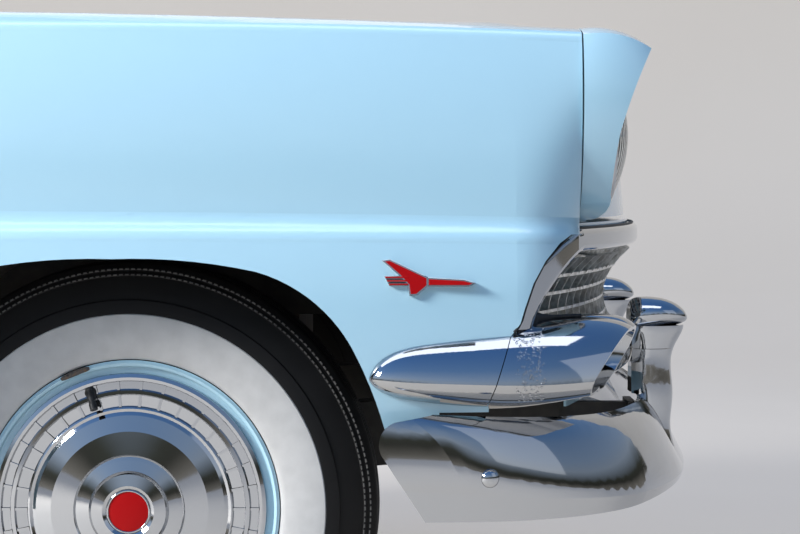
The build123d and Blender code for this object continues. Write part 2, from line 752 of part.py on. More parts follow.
def bumper_bar():
    """Chrome bumper: one bowed bar with wrapped ends, its rear edges cut on a slant."""
    shell = bumper_form() - bumper_form(BUMPER_WALL, 3.0)
    end = [
        Edge.make_line((200, 0, 600), (200, 0, 300)),
        Edge.make_line((200, 0, 300), (432, 0, 300)),
        Edge.make_line((432, 0, 300), (410, 0, 350)),
        Edge.make_line((410, 0, 350), (356, 0, 436)),
        Edge.make_three_point_arc((356, 0, 436), (350, 0, 463), (373, 0, 485)),
        Edge.make_line((373, 0, 485), (420, 0, 492.5)),
        Edge.make_line((420, 0, 492.5), (430, 0, 600)),
        Edge.make_line((430, 0, 600), (200, 0, 600)),
    ]
    shell -= side_prism(end, -1100, 1100)
    return max(shell.solids(), key=lambda s: s.volume)


# Guard sections from the foot to the cap. Columns: z, front x, half width
GUARD_LEVELS = [
    (350, 812, 46),
    (400, 814, 43),
    (450, 814, 41),
    (510, 812, 40),
    (543, 817, 40),
    (562, 827, 42),
    (GUARD_BROW_Z, 832, 43),
]
# Cap stations. Columns: x, centre z, half width, half height
CAP_STATIONS = [
    (744, 588, 34, 22),
    (753, 593, 41, 28),
    (776, 596, 44, 27),
    (800, 597, 42, 23),
    (820, 595, 34, 17),
    (832, 592, 21, 10),
    (837, 590, 8, 4),
]


def guard_whole():
    """Left guard with its cap as one form: an upright that flares out under a rounded bullet."""
    sections = []
    for z, front, half in GUARD_LEVELS:
        sections.append(Pos(GUARD_X, GUARD_Y, z) * Ellipse(front - GUARD_X, half))
    upright = loft(sections) & bar((GUARD_BACK_X, 900), (200, 600), (300, 700))
    sections = []
    for x, z, w, h in CAP_STATIONS:
        plane = Plane(origin=(x, GUARD_Y, z), x_dir=(0, 1, 0), z_dir=(1, 0, 0))
        sections.append(plane * Ellipse(w, h))
    bullet = loft(sections) & bar((700, 900), (200, 600), (GUARD_BROW_Z, 700))
    return upright + bullet


def guard():
    """Left bumper guard, up to its cap."""
    body = guard_whole() & bar((700, 900), (200, 600), (300, GUARD_SPLIT_Z))
    body = body - bumper_form(-0.4) - lower_bar(1.0)
    return max(body.solids(), key=lambda s: s.volume)


def guard_cap():
    """Left guard cap: the rounded bullet that overhangs the guard."""
    cap = guard_whole() & bar((700, 900), (200, 600), (GUARD_SPLIT_Z + 0.8, 700))
    return max((cap - lower_bar(1.0)).solids(), key=lambda s: s.volume)


def bumper_irons():
    """Irons from the frame horns to the bumper, both sides in one node."""
    iron = bar((632, 752), (RAIL_Y - 10, RAIL_Y + 10), (400, 452))
    iron += bar((742, 754), (RAIL_Y - 40, RAIL_Y + 40), (396, 456))
    return iron + mirror(iron, Plane.XZ)


def apron_panel():
    """Gravel shield between the lower bar and the bumper."""
    return bow_band(718, 4, 470, 545, 600)


# Frame and structure


def frame_stub():
    """Frame stub: two hollow box rails stepped up over the axle, with their crossmembers."""
    path = [(JOINT_X, 330), (-330, 330), (-170, 400), (300, 400), (632, 426)]

    def along(half_h, half_w, start, end):
        pts = [start] + path[1:-1] + [end]
        top = [(x, z + half_h) for x, z in pts]
        low = [(x, z - half_h) for x, z in reversed(pts)]
        return side_polygon(top + low, RAIL_Y - half_w, RAIL_Y + half_w)

    wall = 5.0
    rail = along(RAIL_H / 2, RAIL_W / 2, path[0], path[-1])
    rail -= along(RAIL_H / 2 - wall, RAIL_W / 2 - wall, (JOINT_X - 1, 330), (633, 426))
    tower = bar((-75, 75), (376, 462), (481, 560)) + bar((-75, 75), (RAIL_Y + 8, RAIL_Y + 31), (440, 560))
    inner = RAIL_Y - RAIL_W / 2 + 0.5
    frame = rail + mirror(rail, Plane.XZ) + tower + mirror(tower, Plane.XZ)
    frame += bar((-60, 60), (-inner, inner), (300, 380))
    frame += bar((345, 415), (-inner, inner), (370, CROSS_TOP_Z))
    frame += bar((-560, -490), (-inner, inner), (290, 350))
    return frame


def cowl_section(x, side_z, mid_z, wall):
    """A crowned thin strip in the plane at x."""
    outer = Edge.make_three_point_arc((x, -COWL_Y, side_z), (x, 0, mid_z), (x, COWL_Y, side_z))
    low_side, low_mid = side_z - wall, mid_z - wall
    inner = Edge.make_three_point_arc((x, COWL_Y, low_side), (x, 0, low_mid), (x, -COWL_Y, low_side))
    down = Edge.make_line((x, COWL_Y, side_z), (x, COWL_Y, side_z - wall))
    up = Edge.make_line((x, -COWL_Y, side_z - wall), (x, -COWL_Y, side_z))
    return Face(Wire([outer, down, inner, up]))


def dash_panel():
    """Dash panel with the crowned cowl top, closed to the fenders."""
    x, t = JOINT_X, DASH_WALL
    foot, brow = 304.0, 996.0
    outline = [
        Edge.make_line((x, -866, foot), (x, 866, foot)),
        Edge.make_line((x, 866, foot), (x, 866, brow)),
        Edge.make_line((x, 866, brow), (x, COWL_Y, brow)),
        Edge.make_line((x, COWL_Y, brow), (x, COWL_Y, COWL_SIDE_Z - 1)),
        Edge.make_three_point_arc(
            (x, COWL_Y, COWL_SIDE_Z - 1), (x, 0, COWL_MID_Z - 1), (x, -COWL_Y, COWL_SIDE_Z - 1),
        ),
        Edge.make_line((x, -COWL_Y, COWL_SIDE_Z - 1), (x, -COWL_Y, brow)),
        Edge.make_line((x, -COWL_Y, brow), (x, -866, brow)),
        Edge.make_line((x, -866, brow), (x, -866, foot)),
    ]
    plate = extrude(Face(Wire(outline)), amount=t, dir=(1, 0, 0))
    for s in (1, -1):
        for z in (BOLT_MID_Z - BOLT_RISE / 2, BOLT_MID_Z + BOLT_RISE / 2):
            plate -= rod((x - 10, s * BOLT_Y, z), (x + 20, s * BOLT_Y, z), BOLT_HOLE_R)
        rail_half = RAIL_W / 2 + 2
        plate -= bar((x - 1, x + 8), (s * RAIL_Y - rail_half, s * RAIL_Y + rail_half), (276, 384))
    rear = cowl_section(x, COWL_SIDE_Z, COWL_MID_Z, 4)
    front = cowl_section(COWL_FRONT_X, COWL_SIDE_Z - 2, COWL_SIDE_Z + 3, 4)
    top = loft([rear, front])
    lip = bar((COWL_FRONT_X - 4, COWL_FRONT_X), (-COWL_Y, COWL_Y), (COWL_SIDE_Z - 22, COWL_SIDE_Z - 4))
    beads = [bar((x + t - 1, x + t + 5), (-560, 560), (z - 9, z + 9)) for z in (640, 760, 880)]
    return plate.fuse(top, lip, *beads)


def radiator_support():
    """Radiator support: an upright frame between the aprons, on two feet."""
    outer = bar((404, 410), (-APRON_Y + 4, APRON_Y - 4), (464, 930))
    frame = outer - bar((400, 420), (-300, 300), (500, 900))
    for s in (1, -1):
        y0, y1 = sorted((s * (RAIL_Y - 80), s * (RAIL_Y - 38)))
        frame += bar((404, 410), (y0, y1), (CROSS_TOP_Z + 0.3, 465))
        frame += bar((380, 410), (y0, y1), (CROSS_TOP_Z + 0.3, CROSS_TOP_Z + 6))
    return frame


def radiator():
    """Radiator core with its tanks."""
    core = bar((412, 460), (-296, 296), (520, 880))
    tanks = bar((412, 472), (-296, 296), (880, 925)) + bar((412, 472), (-296, 296), (480, 520))
    return core + tanks


def apron():
    """Left inner apron: engine-bay wall, top shelf and the liner over the wheel."""
    outer = Rot(90, 0, 0) * Cylinder(LINER_R + SKIN, 440)
    inner = Rot(90, 0, 0) * Cylinder(LINER_R, 442)
    liner = Pos(0, 680, TYRE_R) * (outer - inner)
    liner &= bar((-500, 500), (APRON_Y, 900), (TYRE_R + 160, 900))
    wall = bar((-590, 402), (APRON_Y - SKIN, APRON_Y), (600, 940))
    shelf = bar((-590, 402), (APRON_Y - SKIN, 690), (940, 940 + SKIN))
    return liner + wall + shelf


def engine_block():
    """The engine as one plain block at its place."""
    return bar((-430, 210), (-270, 270), (440, 900))


# Suspension and steering


def arms():
    """(upper arms, lower arms, springs), each with left and right in one node."""
    end, low_root, top_root = KING_Y - ARM_END_GAP, RAIL_Y + 45, APRON_Y + 8
    low = Polyline((-150, low_root, 0), (150, low_root, 0), (34, end, 0), (-34, end, 0), close=True)
    lower = Pos(0, 0, 226) * extrude(make_face(low.edges()), amount=18, dir=(0, 0, 1))
    up = Polyline((-95, top_root, 0), (95, top_root, 0), (28, end, 0), (-28, end, 0), close=True)
    upper = Pos(0, 0, 484) * extrude(make_face(up.edges()), amount=14, dir=(0, 0, 1))
    spring = Pos(0, RAIL_Y + 102, 362) * (Cylinder(48, 234) - Cylinder(34, 240))
    return [s + mirror(s, Plane.XZ) for s in (upper, lower, spring)]


def knuckle():
    """Left knuckle: upright, spindle, backing plate and steering arm."""
    body = bar((-22, 22), (KING_Y + 4, KING_Y + 24), (BALL_LOW_Z + 12, BALL_TOP_Z - 12))
    body += rod((0, KING_Y, BALL_LOW_Z - 10), (0, KING_Y, BALL_LOW_Z + 40), BALL_R)
    body += rod((0, KING_Y, BALL_TOP_Z - 40), (0, KING_Y, BALL_TOP_Z + 14), BALL_R)
    body += rod((0, KING_Y + 10, TYRE_R), (0, TRACK / 2 + SPINDLE_OUT, TYRE_R), SPINDLE_R)
    body += Pos(0, KING_Y + 26, TYRE_R) * Rot(90, 0, 0) * Cylinder(DRUM_R - 4, 6)
    body += bar((-STEER_ARM - 16, 0), (STEER_ARM_Y - 14, STEER_ARM_Y + 14), (TIE_Z + 12, TIE_Z + 26))
    return body


def tie_rod():
    """Steering linkage: one cross rod whose ends lie under the steering arms."""
    ends = STEER_ARM_Y
    x = -STEER_ARM
    link = rod((x, -ends, TIE_Z - 8), (x, ends, TIE_Z - 8), 11)
    for s in (1, -1):
        link += rod((x, s * ends, TIE_Z - 18), (x, s * ends, TIE_Z + 12 - JOINT_CLEAR), 17)
    return link


# Wheels


def tyre():
    """Left tyre about the origin."""
    half, bead = TYRE_W / 2, RIM_W / 2 - 0.6
    foot, heel = BEAD_R + 0.5, BEAD_R + 10.5
    bulge, hip, shoulder = TYRE_R - 86, TYRE_R - 30, TYRE_R - 14
    edges = [
        Edge.make_line((foot, bead, 0), (heel, bead, 0)),
        Edge.make_line((heel, bead, 0), (RIM_LIP_R + 2.5, bead + 5, 0)),
        Edge.make_line((RIM_LIP_R + 2.5, bead + 5, 0), (RIM_LIP_R + 4, 76, 0)),
        Edge.make_three_point_arc((RIM_LIP_R + 4, 76, 0), (bulge, half, 0), (hip, 70, 0)),
        Edge.make_three_point_arc((hip, 70, 0), (shoulder, 65, 0), (TYRE_R - 3, 56, 0)),
        Edge.make_three_point_arc((TYRE_R - 3, 56, 0), (TYRE_R, 0, 0), (TYRE_R - 3, -56, 0)),
        Edge.make_three_point_arc((TYRE_R - 3, -56, 0), (shoulder, -65, 0), (hip, -70, 0)),
        Edge.make_three_point_arc((hip, -70, 0), (bulge, -half, 0), (RIM_LIP_R + 4, -76, 0)),
        Edge.make_line((RIM_LIP_R + 4, -76, 0), (RIM_LIP_R + 2.5, -bead - 5, 0)),
        Edge.make_line((RIM_LIP_R + 2.5, -bead - 5, 0), (heel, -bead, 0)),
        Edge.make_line((heel, -bead, 0), (foot, -bead, 0)),
        Edge.make_line((foot, -bead, 0), (foot, 12 - bead, 0)),
        Edge.make_three_point_arc((foot, 12 - bead, 0), (TYRE_R - 26, 0, 0), (foot, bead - 12, 0)),
        Edge.make_line((foot, bead - 12, 0), (foot, bead, 0)),
    ]
    return revolve(Face(Wire(edges)), Axis.Y)


def rim():
    """Steel rim with its dished centre."""
    half = RIM_W / 2
    seat = BEAD_R
    lip = RIM_LIP_R
    profile = [
        (lip, 73), (lip - 2, 68), (lip - 7, half), (seat, half), (seat, 44),
        (seat - 22.5, 30), (seat - 22.5, -24),
        (seat, -40), (seat, -half), (lip - 7, -half), (lip - 2, -68), (lip, -73), (lip - 4, -76),
        (lip - 8, -74), (lip - 5.5, -70), (lip - 9.5, -half - 3), (seat - 3, -half - 3), (seat - 3, -42),
        (seat - 25.5, -26), (seat - 25.5, 8), (152, 12), (112, 32), (84, 18), (40, 18), (40, 22), (82, 22),
        (110, 37), (156, 18), (seat - 25.5, 31), (seat - 3, 46), (seat - 3, half + 3), (lip - 9.5, half + 3),
        (lip - 5.5, 70), (lip - 8, 74), (lip - 4, 76),
    ]
    return turned(profile)


def wheel_cover():
    """Chrome full wheel cover: two fluted rings round a raised dome with a stepped hub."""
    r = COVER_R
    profile = [
        (r, 70), (r - 1, 74), (r - 6, 76), (r - 10, 75.5), (r - 12, 71), (r - 22, 71), (r - 24, 75.5),
        (r - 29, 76), (r - 31, 71.5), (r - 46, 70.5), (r - 48, 74), (r - 50, 75), (r - 54, 73), (r - 59, 76),
        (110, 83), (78, 87), (75, 84.5), (70, 86), (56, 90), (52, 96), (36, 99), (30, 95), (0, 96), (0, 92),
        (28, 91), (50, 90), (74, 80.5), (110, 78), (r - 55, 67.5), (r - 31, 67), (r - 15, 67), (r - 7, 68),
    ]
    cover = turned(profile)
    ribs = []
    for i in range(COVER_CELLS):
        turn = Rot(0, (i + 0.5) * 360 / COVER_CELLS, 0)
        ribs.append(turn * bar((-1.8, 1.8), (69, 74.4), (r - 23, r - 11)))
        ribs.append(turn * bar((-1.8, 1.8), (69, 74.0), (r - 47, r - 30)))
    return cover.fuse(*ribs)


def brake_drum():
    """Brake drum and hub."""
    profile = [
        (DRUM_R, -52), (DRUM_R, 8), (DRUM_R - 10, 14), (HUB_R, 14), (HUB_R, 60), (SPINDLE_R + 0.6, 60),
        (SPINDLE_R + 0.6, 4), (DRUM_R - 14, 4), (DRUM_R - 6, -2), (DRUM_R - 6, -52),
    ]
    return turned(profile)


def at_wheel(shape):
    """A wheel piece moved to the left hub."""
    return Pos(0, TRACK / 2, TYRE_R) * shape


def hinges():
    """(arms on the hood, brackets on the cowl), both sides in each node."""
    y = 560.0
    x, z = HOOD_HINGE_X, HOOD_HINGE_Z
    arm = bar((x - 8, -380), (y - 5, y + 5), (z - 6, z + 6)) + bar((-420, -380), (y - 5, y + 5), (z, 1034))
    arm -= rod((x, y - 20, z), (x, y + 20, z), 5.06)
    bracket = bar((x - 16, x + 10), (y + 6, y + 11), (950, z + 6)) + rod((x, y - 8, z), (x, y + 8, z), 5)
    bracket += bar((JOINT_X + 7, x + 10), (y + 6, y + 11), (950, 975))
    return [arm + mirror(arm, Plane.XZ), bracket + mirror(bracket, Plane.XZ)]


def build():
    """Every node by name."""
    nodes = {}

    def pair(name, shape):
        nodes[name + "_left"], nodes[name + "_right"] = both(shape)

    def twin(name, shape):
        nodes[name] = shape + mirror(shape, Plane.XZ)

    pair("fender", fender())
    pair("headlamp_door", headlamp_door())
    twin("headlamp_rings", lamp_ring())
    twin("headlamp_lenses", lamp_lens())
    nodes["hood"] = hood()
    nodes["nose_panel"] = nose_panel()
    nodes["grille_surround"] = grille_surround()
    nodes["grille_mesh"] = grille_mesh()
    nodes["grille_lower_bar"] = lower_bar()
    tip, housing = pods()
    pair("pod_tip", tip)
    pair("pod_housing", housing)
    twin("parking_lenses", parking_lens())
    nodes["bumper_bar"] = bumper_bar()
    twin("bumper_guards", guard())
    twin("guard_caps", guard_cap())
    nodes["bumper_irons"] = bumper_irons()
    nodes["gravel_shield"] = apron_panel()
    nodes["frame_stub"] = frame_stub()
    nodes["dash_panel"] = dash_panel()
    nodes["radiator_support"] = radiator_support()
    nodes["radiator"] = radiator()
    pair("apron", apron())
    nodes["engine_block"] = engine_block()
    nodes["upper_arms"], nodes["lower_arms"], nodes["coil_springs"] = arms()
    pair("knuckle", knuckle())
    nodes["tie_rod"] = tie_rod()
    pair("tyre", at_wheel(tyre()))
    pair("rim", at_wheel(rim()))
    pair("wheel_cover", at_wheel(wheel_cover()))
    pair("brake_drum", at_wheel(brake_drum()))
    nodes["hood_hinge_arms"], nodes["hood_hinge_brackets"] = hinges()
    return nodes


def main():
    """Write one STEP file per node, moved into the stored frame."""
    os.makedirs("parts", exist_ok=True)
    for name, shape in build().items():
        export_step(Pos(-JOINT_X, 0, -JOINT_Z) * shape, f"parts/{name}.step")


if __name__ == "__main__":
    main()
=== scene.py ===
import math

import bmesh
import bpy
from bpy.props import FloatProperty, FloatVectorProperty, IntProperty, PointerProperty
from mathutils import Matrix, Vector


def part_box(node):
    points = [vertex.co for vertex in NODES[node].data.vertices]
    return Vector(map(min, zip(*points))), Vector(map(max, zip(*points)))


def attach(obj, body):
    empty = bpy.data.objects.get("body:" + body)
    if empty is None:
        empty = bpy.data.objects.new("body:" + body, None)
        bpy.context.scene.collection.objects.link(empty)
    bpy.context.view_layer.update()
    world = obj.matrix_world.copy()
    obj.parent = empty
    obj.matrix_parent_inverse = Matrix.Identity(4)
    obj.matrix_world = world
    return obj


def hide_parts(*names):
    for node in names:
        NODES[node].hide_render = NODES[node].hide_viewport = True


bl_info = {
    "name": "Fifties Front End",
    "version": (1, 0, 0),
    "blender": (4, 5, 0),
    "location": "View3D > Sidebar > Front End",
    "description": "Dresses the front end of a 1950s car: paint, brightwork, wheels, lamps and trim",
    "category": "Object",
}

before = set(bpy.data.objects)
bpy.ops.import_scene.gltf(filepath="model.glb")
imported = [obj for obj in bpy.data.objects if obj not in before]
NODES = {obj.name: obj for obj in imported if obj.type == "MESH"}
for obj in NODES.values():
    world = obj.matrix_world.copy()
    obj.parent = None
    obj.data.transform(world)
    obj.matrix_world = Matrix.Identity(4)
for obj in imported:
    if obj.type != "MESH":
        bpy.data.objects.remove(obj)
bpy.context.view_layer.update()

# Places read from the CAD, in metres
TYRE_LOW, TYRE_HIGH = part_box("tyre_right")
AXLE = (TYRE_LOW + TYRE_HIGH) / 2
TYRE_RADIUS = (TYRE_HIGH.z - TYRE_LOW.z) / 2
FLOOR_Z = TYRE_LOW.z
RING_LOW, RING_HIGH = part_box("headlamp_rings")
LENS_LOW, LENS_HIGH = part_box("headlamp_lenses")
COIL_LOW, COIL_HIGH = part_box("coil_springs")

MM = 0.001
AHEAD = Vector((1, 0, 0))
UP = Vector((0, 0, 1))
SIDES = (("left", 1.0), ("right", -1.0))
# Rays at the car's side start this many millimetres from its middle, clear of it
BESIDE = 1100


# Helpers for colours, nodes and meshes


def srgb(code):
    """The linear colour of an sRGB hex value such as 8FD0EE, with alpha 1."""
    linear = []
    for i in (0, 2, 4):
        c = int(code[i : i + 2], 16) / 255
        linear.append(c / 12.92 if c <= 0.04045 else ((c + 0.055) / 1.055) ** 2.4)
    return (*linear, 1.0)


def add(tree, kind, inputs=None, stops=(), **settings):
    """Adds a node with its settings, and sets or links its inputs; a link is the socket it comes from.
    stops are a colour ramp's (position, sRGB hex) marks."""
    made = tree.nodes.new(kind)
    for name, value in settings.items():
        setattr(made, name, value)
    for name, value in (inputs or {}).items():
        socket = made.inputs[name]
        if isinstance(value, bpy.types.NodeSocket):
            tree.links.new(value, socket)
        else:
            socket.default_value = value
    if stops:
        marks = made.color_ramp.elements
        while len(marks) < len(stops):
            marks.new(0.5)
        for mark, (position, code) in zip(marks, stops):
            mark.position = position
            mark.color = srgb(code)
    return made


def finish(name, tone=None, stops=(), rough=None, relief=None, **plain):
    """The material of a finish: one Principled shader, whose constant inputs are in plain. tone is the
    size in millimetres and the detail of a noise, which the stops colour and which is spread over two
    roughnesses. relief is a second noise's size and detail, then its bump's strength and depth."""
    material = bpy.data.materials.get(name) or bpy.data.materials.new(name)
    material.use_nodes = True
    tree = material.node_tree
    tree.nodes.clear()
    inputs = {key.replace("_", " "): value for key, value in plain.items()}
    place = add(tree, "ShaderNodeTexCoord").outputs["Object"]
    if tone:
        size, detail = tone
        noise = {"Vector": place, "Scale": 1 / (size * MM), "Detail": detail}
        patches = add(tree, "ShaderNodeTexNoise", noise).outputs["Fac"]
        if stops:
            inputs["Base Color"] = add(tree, "ShaderNodeValToRGB", {"Fac": patches}, stops).outputs["Color"]
        if rough:
            span = {"Value": patches, "To Min": rough[0], "To Max": rough[1]}
            inputs["Roughness"] = add(tree, "ShaderNodeMapRange", span).outputs["Result"]
    if relief:
        size, detail, strength, depth = relief
        noise = {"Vector": place, "Scale": 1 / (size * MM), "Detail": detail}
        height = add(tree, "ShaderNodeTexNoise", noise).outputs["Fac"]
        bumps = {"Height": height, "Strength": strength, "Distance": depth * MM}
        inputs["Normal"] = add(tree, "ShaderNodeBump", bumps).outputs["Normal"]
    shader = add(tree, "ShaderNodeBsdfPrincipled", inputs)
    add(tree, "ShaderNodeOutputMaterial", {"Surface": shader.outputs["BSDF"]})
    return material


def in_scene(name, data):
    """An object for a mesh, light or camera, added to the scene."""
    made = bpy.data.objects.new(name, data)
    bpy.context.scene.collection.objects.link(made)
    return made


def new_object(name, mesh, body, slot, *materials):
    """An object for a mesh that is already in place, riding on a body."""
    for material in materials:
        mesh.materials.append(material)
    made = in_scene(name, mesh)
    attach(made, body)
    return made


def new_piece(name, bm, smooth_under, body, slot, *materials):
    """An object for a bmesh, smooth where its faces meet at less than smooth_under degrees."""
    return new_object(name, finished(bm, name, smooth_under), body, slot, *materials)


def dress(material, *names):
    """Gives CAD nodes a material."""
    for name in names:
        for place in NODES[name].material_slots:
            place.material = material


def at(x, y, z):
    """A point from millimetres ahead of the axle, left of the middle and over the floor."""
    return Vector((AXLE.x + x * MM, y * MM, FLOOR_Z + z * MM))


def hub_centre(side):
    """The middle of the wheel on a side."""
    return Vector((AXLE.x, -side * AXLE.y, AXLE.z))


def spoke(angle):
    """A unit step out from a wheel's middle, at an angle upwards from straight ahead."""
    return Vector((math.cos(angle), 0, math.sin(angle)))


def as_mesh(bm, name):
    """A mesh from a bmesh, which is freed."""
    mesh = bpy.data.meshes.new(name)
    bm.to_mesh(mesh)
    bm.free()
    return mesh


def finished(bm, name, smooth_under=35.0):
    """A bmesh made into a mesh with outward normals and sharp creases."""
    bmesh.ops.remove_doubles(bm, verts=bm.verts, dist=1e-6)
    bmesh.ops.recalc_face_normals(bm, faces=bm.faces)
    limit = math.radians(smooth_under)
    for face in bm.faces:
        face.smooth = True
    for edge in bm.edges:
        if len(edge.link_faces) == 2 and edge.calc_face_angle(0.0) > limit:
            edge.smooth = False
    return as_mesh(bm, name)


def lathe(bm, profile, centre, axis, steps, slots=None, weave=None):
    """Spins (radius, along) points about the axis through centre. slots gives a material index for each
    span of the profile; weave(step, radius, along) shifts a point along the axis."""
    basis = Vector(axis).to_track_quat("Z", "Y").to_matrix()
    rings = []
    for i in range(steps):
        a = 2 * math.pi * i / steps
        ring = []
        for r, along in profile:
            shift = weave(i, r, along) if weave else 0.0
            local = Vector((r * math.cos(a), r * math.sin(a), along + shift))
            ring.append(bm.verts.new(Vector(centre) + basis @ local))
        rings.append(ring)
    for i in range(steps):
        one, two = rings[i], rings[(i + 1) % steps]
        for j in range(len(profile) - 1):
            if profile[j][0] == 0 and profile[j + 1][0] == 0:
                continue
            face = bm.faces.new((one[j], one[j + 1], two[j + 1], two[j]))
            face.material_index = slots[j] if slots else 0


def turned_mesh(name, profile, steps):
    """A small piece turned about Z, from (radius, height) points."""
    bm = bmesh.new()
    lathe(bm, profile, (0, 0, 0), UP, steps)
    return finished(bm, name)


def loft(bm, rings):
    """Joins closed rings of vertices in their order, and closes both ends."""
    count = len(rings[0])
    for one, two in zip(rings, rings[1:]):
        for k in range(count):
            n = (k + 1) % count
            bm.faces.new((one[k], one[n], two[n], two[k]))
    bm.faces.new(rings[0])
    bm.faces.new(rings[-1])


def tube(bm, path, radius, sides):
    """Sweeps a round section along a path of points; radius is one value or a list with one per point."""
    path = [Vector(point) for point in path]
    radii = radius if isinstance(radius, list) else [radius] * len(path)
    rings = []
    normal = None
    for i, point in enumerate(path):
        way = (path[min(i + 1, len(path) - 1)] - path[max(i - 1, 0)]).normalized()
        if normal is None:
            normal = way.orthogonal().normalized()
        normal = (normal - way * normal.dot(way)).normalized()
        across = way.cross(normal)
        ring = []
        for k in range(sides):
            a = 2 * math.pi * k / sides
            ring.append(bm.verts.new(point + radii[i] * (math.cos(a) * normal + math.sin(a) * across)))
        rings.append(ring)
    loft(bm, rings)


def curve_through(points, steps):
    """A smooth run of points through a few guide points."""
    guides = [Vector(point) for point in points]
    guides = [2 * guides[0] - guides[1]] + guides + [2 * guides[-1] - guides[-2]]
    run = []
    for a, b, c, d in zip(guides, guides[1:], guides[2:], guides[3:]):
        for k in range(steps):
            t = k / steps
            run.append(
                0.5 * ((2 * b) + (c - a) * t + (2 * a - 5 * b + 4 * c - d) * t * t)
                + 0.5 * (3 * b - a - 3 * c + d) * t**3
            )
    run.append(guides[-2])
    return run


def grown_outline(points, by):
    """A closed outline in the plane, moved outwards by a distance."""
    # A corner's point moves no further than the distance over this
    sharpest = 0.45
    area = sum(a[0] * b[1] - b[0] * a[1] for a, b in zip(points, points[1:] + points[:1]))
    sign = 1.0 if area > 0 else -1.0
    moved = []
    for before, here, after in zip(points[-1:] + points[:-1], points, points[1:] + points[:1]):
        one = (Vector(here) - Vector(before)).normalized()
        two = (Vector(after) - Vector(here)).normalized()
        n1, n2 = Vector((one.y, -one.x)) * sign, Vector((two.y, -two.x)) * sign
        n = (n1 + n2).normalized()
        reach = by / max(sharpest, n.dot(n1))
        moved.append((here[0] + n.x * reach, here[1] + n.y * reach))
    return moved


def skin_hit(node, start, way):
    """(place, outward normal) where a ray first meets a CAD node."""
    thing = NODES[node]
    place = thing.matrix_world
    back = place.inverted()
    hit, spot, normal, _ = thing.ray_cast(back @ Vector(start), back.to_3x3() @ Vector(way))
    if not hit:
        raise ValueError(f"nothing of {node} lies ahead of {tuple(start)}")
    return place @ spot, (place.to_3x3() @ normal).normalized()


def side_hit(node, x, side, z):
    """(place, outward normal) on a CAD node, seen from a side of the car; x and z are as in at."""
    return skin_hit(node, at(x, side * BESIDE, z), (0, -side, 0))


def strip_mesh(name, length, width, thick):
    """A flat strip that lies on its base, its length along X."""
    section = ((-width / 2, 0.0), (width / 2, 0.0), (width / 3, thick), (-width / 3, thick))
    bm = bmesh.new()
    loft(bm, [[bm.verts.new((x, y, z)) for y, z in section] for x in (-length / 2, length / 2)])
    return finished(bm, name)


def points_mesh(name, places):
    """A mesh of loose points with axis and along attributes, from (place, axis) or (place, axis, along)."""
    mesh = bpy.data.meshes.new(name)
    mesh.from_pydata([tuple(place[0]) for place in places], [], [])
    axes = mesh.attributes.new("axis", "FLOAT_VECTOR", "POINT")
    ways = mesh.attributes.new("along", "FLOAT_VECTOR", "POINT")
    for k, place in enumerate(places):
        axes.data[k].vector = tuple(place[1])
        ways.data[k].vector = tuple(place[2]) if len(place) > 2 else (0.0, 0.0, 0.0)
    return mesh


def new_group(name, sockets):
    """A geometry node group with geometry in and out and the named inputs."""
    group = bpy.data.node_groups.new(name, "GeometryNodeTree")
    group.interface.new_socket("Geometry", in_out="INPUT", socket_type="NodeSocketGeometry")
    for label, kind in sockets.items():
        group.interface.new_socket(label, in_out="INPUT", socket_type=f"NodeSocket{kind}")
    group.interface.new_socket("Geometry", in_out="OUTPUT", socket_type="NodeSocketGeometry")
    return group, group.nodes.new("NodeGroupInput").outputs


def end_group(group, points, piece, rotation, scale, material):
    """Ends a group: copies of a piece on points, made real and given their material."""
    copies = add(
        group, "GeometryNodeInstanceOnPoints",
        {"Points": points, "Instance": piece, "Rotation": rotation, "Scale": scale},
    )
    solid = add(group, "GeometryNodeRealizeInstances", {"Geometry": copies.outputs["Instances"]})
    coat = {"Geometry": solid.outputs["Geometry"], "Material": material}
    coated = add(group, "GeometryNodeSetMaterial", coat)
    add(group, "NodeGroupOutput", {"Geometry": coated.outputs["Geometry"]})
    return group


def studs_group():
    """Puts a copy of a piece on every point, its Z on the axis attribute and its X on along."""
    sockets = {"Piece": "Object", "Scale": "Float", "Finish": "Material"}
    group, entry = new_group("studs_on_points", sockets)
    turned = {}
    for name, axis, pivot in (("axis", "Z", "AUTO"), ("along", "X", "Z")):
        way = add(group, "GeometryNodeInputNamedAttribute", {"Name": name}, data_type="FLOAT_VECTOR")
        turn = add(
            group, "FunctionNodeAlignRotationToVector", {"Vector": way.outputs["Attribute"], **turned},
            axis=axis, pivot_axis=pivot,
        )
        turned = {"Rotation": turn.outputs["Rotation"]}
    piece = add(group, "GeometryNodeObjectInfo", {"Object": entry["Piece"]}).outputs["Geometry"]
    return end_group(
        group, entry["Geometry"], piece, turned["Rotation"], entry["Scale"], entry["Finish"]
    )


def drops_group():
    """Scatters small domes of mixed size over a surface."""
    sockets = {"Density": "Float", "Radius": "Float", "Seed": "Int", "Finish": "Material"}
    group, entry = new_group("drops_on_surface", sockets)
    where = {"Mesh": entry["Geometry"], "Density": entry["Density"], "Seed": entry["Seed"]}
    spots = add(group, "GeometryNodeDistributePointsOnFaces", where)
    ball = add(group, "GeometryNodeMeshIcoSphere", {"Radius": entry["Radius"], "Subdivisions": 2})
    share = {"Min": 0.35, "Max": 1.0, "Seed": entry["Seed"]}
    size = add(group, "FunctionNodeRandomValue", share, data_type="FLOAT")
    flat = add(group, "ShaderNodeCombineXYZ", {"X": 1.0, "Y": 1.0, "Z": 0.8})
    sized = add(
        group, "ShaderNodeVectorMath", {"Vector": flat.outputs["Vector"], "Scale": size.outputs["Value"]},
        operation="SCALE",
    )
    return end_group(
        group, spots.outputs["Points"], ball.outputs["Mesh"], spots.outputs["Rotation"],
        sized.outputs["Vector"], entry["Finish"],
    )


